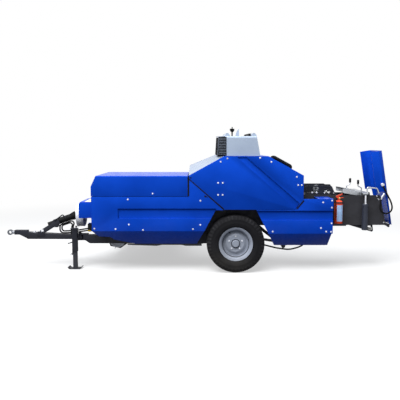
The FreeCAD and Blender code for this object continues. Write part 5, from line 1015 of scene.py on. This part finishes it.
# %% Hose and gauge
NECK = BOTTLE + Vector((0, 0, 0.352))
BOTTLE_HOSE = [(-0.015, -0.016, 0.004), (-0.045, -0.040, 0.010), (-0.060, -0.050, -0.050),
               (-0.046, -0.052, -0.12), (-0.046, -0.0505, -0.20), (-0.046, -0.0505, -0.25)]
HOSE_RADIUS = 0.006


def swept(name, points, radius, body, slot):
    """A hose along a NURBS line, turned into a mesh."""
    data = bpy.data.curves.new(name, "CURVE")
    data.dimensions = "3D"
    spline = data.splines.new("NURBS")
    spline.points.add(len(points) - 1)
    for point, place in zip(spline.points, points):
        point.co = (*place, 1)
    spline.order_u = 3
    spline.use_endpoint_u = True
    spline.resolution_u = 8
    data.bevel_depth = radius
    data.bevel_resolution = 3
    data.use_fill_caps = True
    hose = bpy.data.objects.new(name, data)
    bpy.context.scene.collection.objects.link(hose)
    pick(hose)
    bpy.ops.object.convert(target="MESH")
    piece = bpy.context.object
    bpy.ops.object.mode_set(mode="EDIT")
    bpy.ops.mesh.select_all(action="SELECT")
    bpy.ops.mesh.remove_doubles(threshold=ONE_POINT)
    bpy.ops.mesh.normals_make_consistent(inside=False)
    bpy.ops.object.mode_set(mode="OBJECT")
    settle(piece, name, body, slot, smooth=50)


swept("bottle_hose", [NECK + Vector(place) for place in BOTTLE_HOSE], HOSE_RADIUS, "chassis",
      "black_plastic")
gauge = turned([(0, 0), (0.012, 0), (0.013, 0.002), (0.013, 0.007), (0.011, 0.0085), (0, 0.0085)],
               NECK + Vector((0.004, -0.017, 0.008)), LEFT, 24)
settle(gauge, "bottle_gauge", "chassis", "bare_steel", "brass")

# %% [markdown]
# ## Crank grips, rail roller and ram ends
#
# The two cranks have black moulded grips with shallow rings. The lower rail ends in a white nylon
# roller. The springs of the rams sit in dark tubes with a clevis pin at the foot, and a nut and a
# bright sleeve on the rod above. All of these are turned parts.

# %% Grips and roller
GRIPS = ((1.578, 1.232), (1.688, 1.208))
GRIP_Y, GRIP_LONG, GRIP_RINGS, RING_PITCH = 0.392, 0.0545, 5, 0.0095
rings = []
for step in range(GRIP_RINGS):
    z = 0.006 + step * RING_PITCH
    rings += [(0.0142, z), (0.0150, z + 0.002), (0.0150, z + 0.006), (0.0142, z + 0.0078)]
grip_profile = [(0.0095, -0.002), (0.0135, 0.0)] + rings + [(0.0135, 0.0535), (0.009, 0.0565),
                                                          (0, 0.0575)]
for index, (x, top) in enumerate(GRIPS):
    grip = lathe(grip_profile, at(x, GRIP_Y, top - GRIP_LONG), "Z", 24)
    settle(grip, f"crank_grip_{index}", "chassis", "black_plastic")

roller = lathe([(0.012, -0.011), (0.0225, -0.011), (0.0245, -0.009), (0.0245, 0.009),
                (0.0225, 0.011), (0.012, 0.011)], at(1.862, 0.3715, 0.540), "Y", 28)
settle(roller, "rail_roller", "chassis", "grey", "nylon")

# %% Ram ends
RAM_X, RAM_PIN_Z, RAM_NUT_Z = 1.762, 0.560, 0.892
for side, y in (("left", 0.282), ("right", 0.882)):
    clevis = lathe([(0, -0.034), (0.011, -0.034), (0.012, -0.030), (0.012, 0.030),
                    (0.011, 0.034), (0, 0.034)], at(RAM_X, y, RAM_PIN_Z), "Y", 20)
    settle(clevis, f"{side}_ram_pin", "chassis", "bare_steel", "zinc")
    nut = lathe([(0.012, 0), (0.022, 0), (0.022, 0.004), (0.019, 0.006), (0.019, 0.018),
                 (0.012, 0.020)], at(RAM_X, y, RAM_NUT_Z), "Z", 6)
    settle(nut, f"{side}_ram_nut", "chassis", "bare_steel", "zinc", smooth=20)
    chrome = lathe([(0.0122, 0.020), (0.0136, 0.021), (0.0136, 0.118), (0.0122, 0.119),
                    (0.0122, 0.020)], at(RAM_X, y, RAM_NUT_Z), "Z", 28)
    settle(chrome, f"{side}_ram_rod", "chassis", "bare_steel", "zinc")

# %% [markdown]
# ## Cord stud, dust caps and the jack's pin
#
# The cord's stud has a washer and a thimble, both zinc plated. The parked hydraulic couplers wear
# coloured dust caps, one yellow and one red, so that the driver joins the right pair. The jack's
# pin has a ring pull, which hangs high enough to clear the foot when the jack is up.

# %% Small coloured parts
thimble = lathe([(0.0125, -0.013), (0.020, -0.014), (0.0225, -0.010), (0.019, -0.004),
                 (0.019, 0.004), (0.0225, 0.010), (0.020, 0.014), (0.0125, 0.013)],
                at(STUD_X, 0.288, STUD_Z), "Y", 28)
settle(thimble, "cord_thimble", "chute", "bare_steel", "zinc")
stud_cap = lathe([(0, -0.004), (0.013, -0.004), (0.014, -0.001), (0.014, 0.004),
                  (0.0125, 0.005)], at(STUD_X, 0.2715, STUD_Z), "Y", 24)
settle(stud_cap, "cord_stud_cap", "chute", "bare_steel", "zinc")

DUST_CAPS = (("cap_yellow", -2.001, 0.388, 0.516), ("cap_red", -2.001, 0.412, 0.540))
for colour, *place in DUST_CAPS:
    sleeve = lathe([(0.0148, -0.010), (0.0185, -0.010), (0.0195, -0.007), (0.0195, 0.010),
                    (0.0180, 0.014), (0.0190, 0.018), (0.0190, 0.026), (0.0165, 0.030),
                    (0.0148, 0.030)], at(*place), "X", 24)
    settle(sleeve, f"coupler_{colour}", "drawbar", "black_plastic", colour)

PULL_RADIUS, PULL_WIRE = 0.0160, 0.0028
ring = lathe([(PULL_RADIUS + PULL_WIRE * math.cos(a * math.pi / 4),
               PULL_WIRE * math.sin(a * math.pi / 4)) for a in range(9)],
             at(-2.240, 0.308, 0.199), "X", 28)
settle(ring, "jack_pin_ring", "drawbar", "bare_steel", "zinc")

# %% [markdown]
# ## Nuts on the frame
#
# Bigger hexagon nuts hold the prop, the drawbar's pivot and the chamber's stiffeners. They are the
# same nut as on the wheels, in other sizes.

# %% Nuts on the frame
BIG_NUT, SMALL_NUT = 0.024, 0.018


def nut_row(name, body, across, direction, places):
    turn = facing(direction)
    nuts = repeat(make_nut(across, across * 0.62, across * 0.25),
                  [Matrix.Translation(at(*place)) @ turn for place in places])
    settle(nuts, name, body, "bare_steel", "zinc")


prop_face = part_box("shaft_prop")[0].y - LEFT_FACE_Y
nut_row("prop_nut", "drawbar", BIG_NUT, LEFT, [(-2.633, prop_face, 0.503)])
nut_row("drawbar_top_nuts", "drawbar", BIG_NUT, UP, [
    (-2.705, 0.398, 0.4795), (-2.705, 0.442, 0.4795),
    (-2.760, 0.398, 0.4825), (-2.760, 0.442, 0.4825)])
nut_row("chamber_end_nuts", "chassis", SMALL_NUT, LEFT, [
    (1.935, 0.344, 0.985), (2.040, 0.344, 0.625), (1.960, 0.344, 0.940)])
nut_row("knotter_nuts", "chassis", SMALL_NUT, LEFT, [
    (1.060, 0.364, 1.027), (1.120, 0.364, 1.027), (1.222, 0.364, 1.027),
    (1.282, 0.364, 1.027), (1.350, 0.364, 1.023)])
bolt_row("frame_plug", "chassis", FRAME_PLUG, [(-1.905, 0.425)], "black_plastic", 0.365)
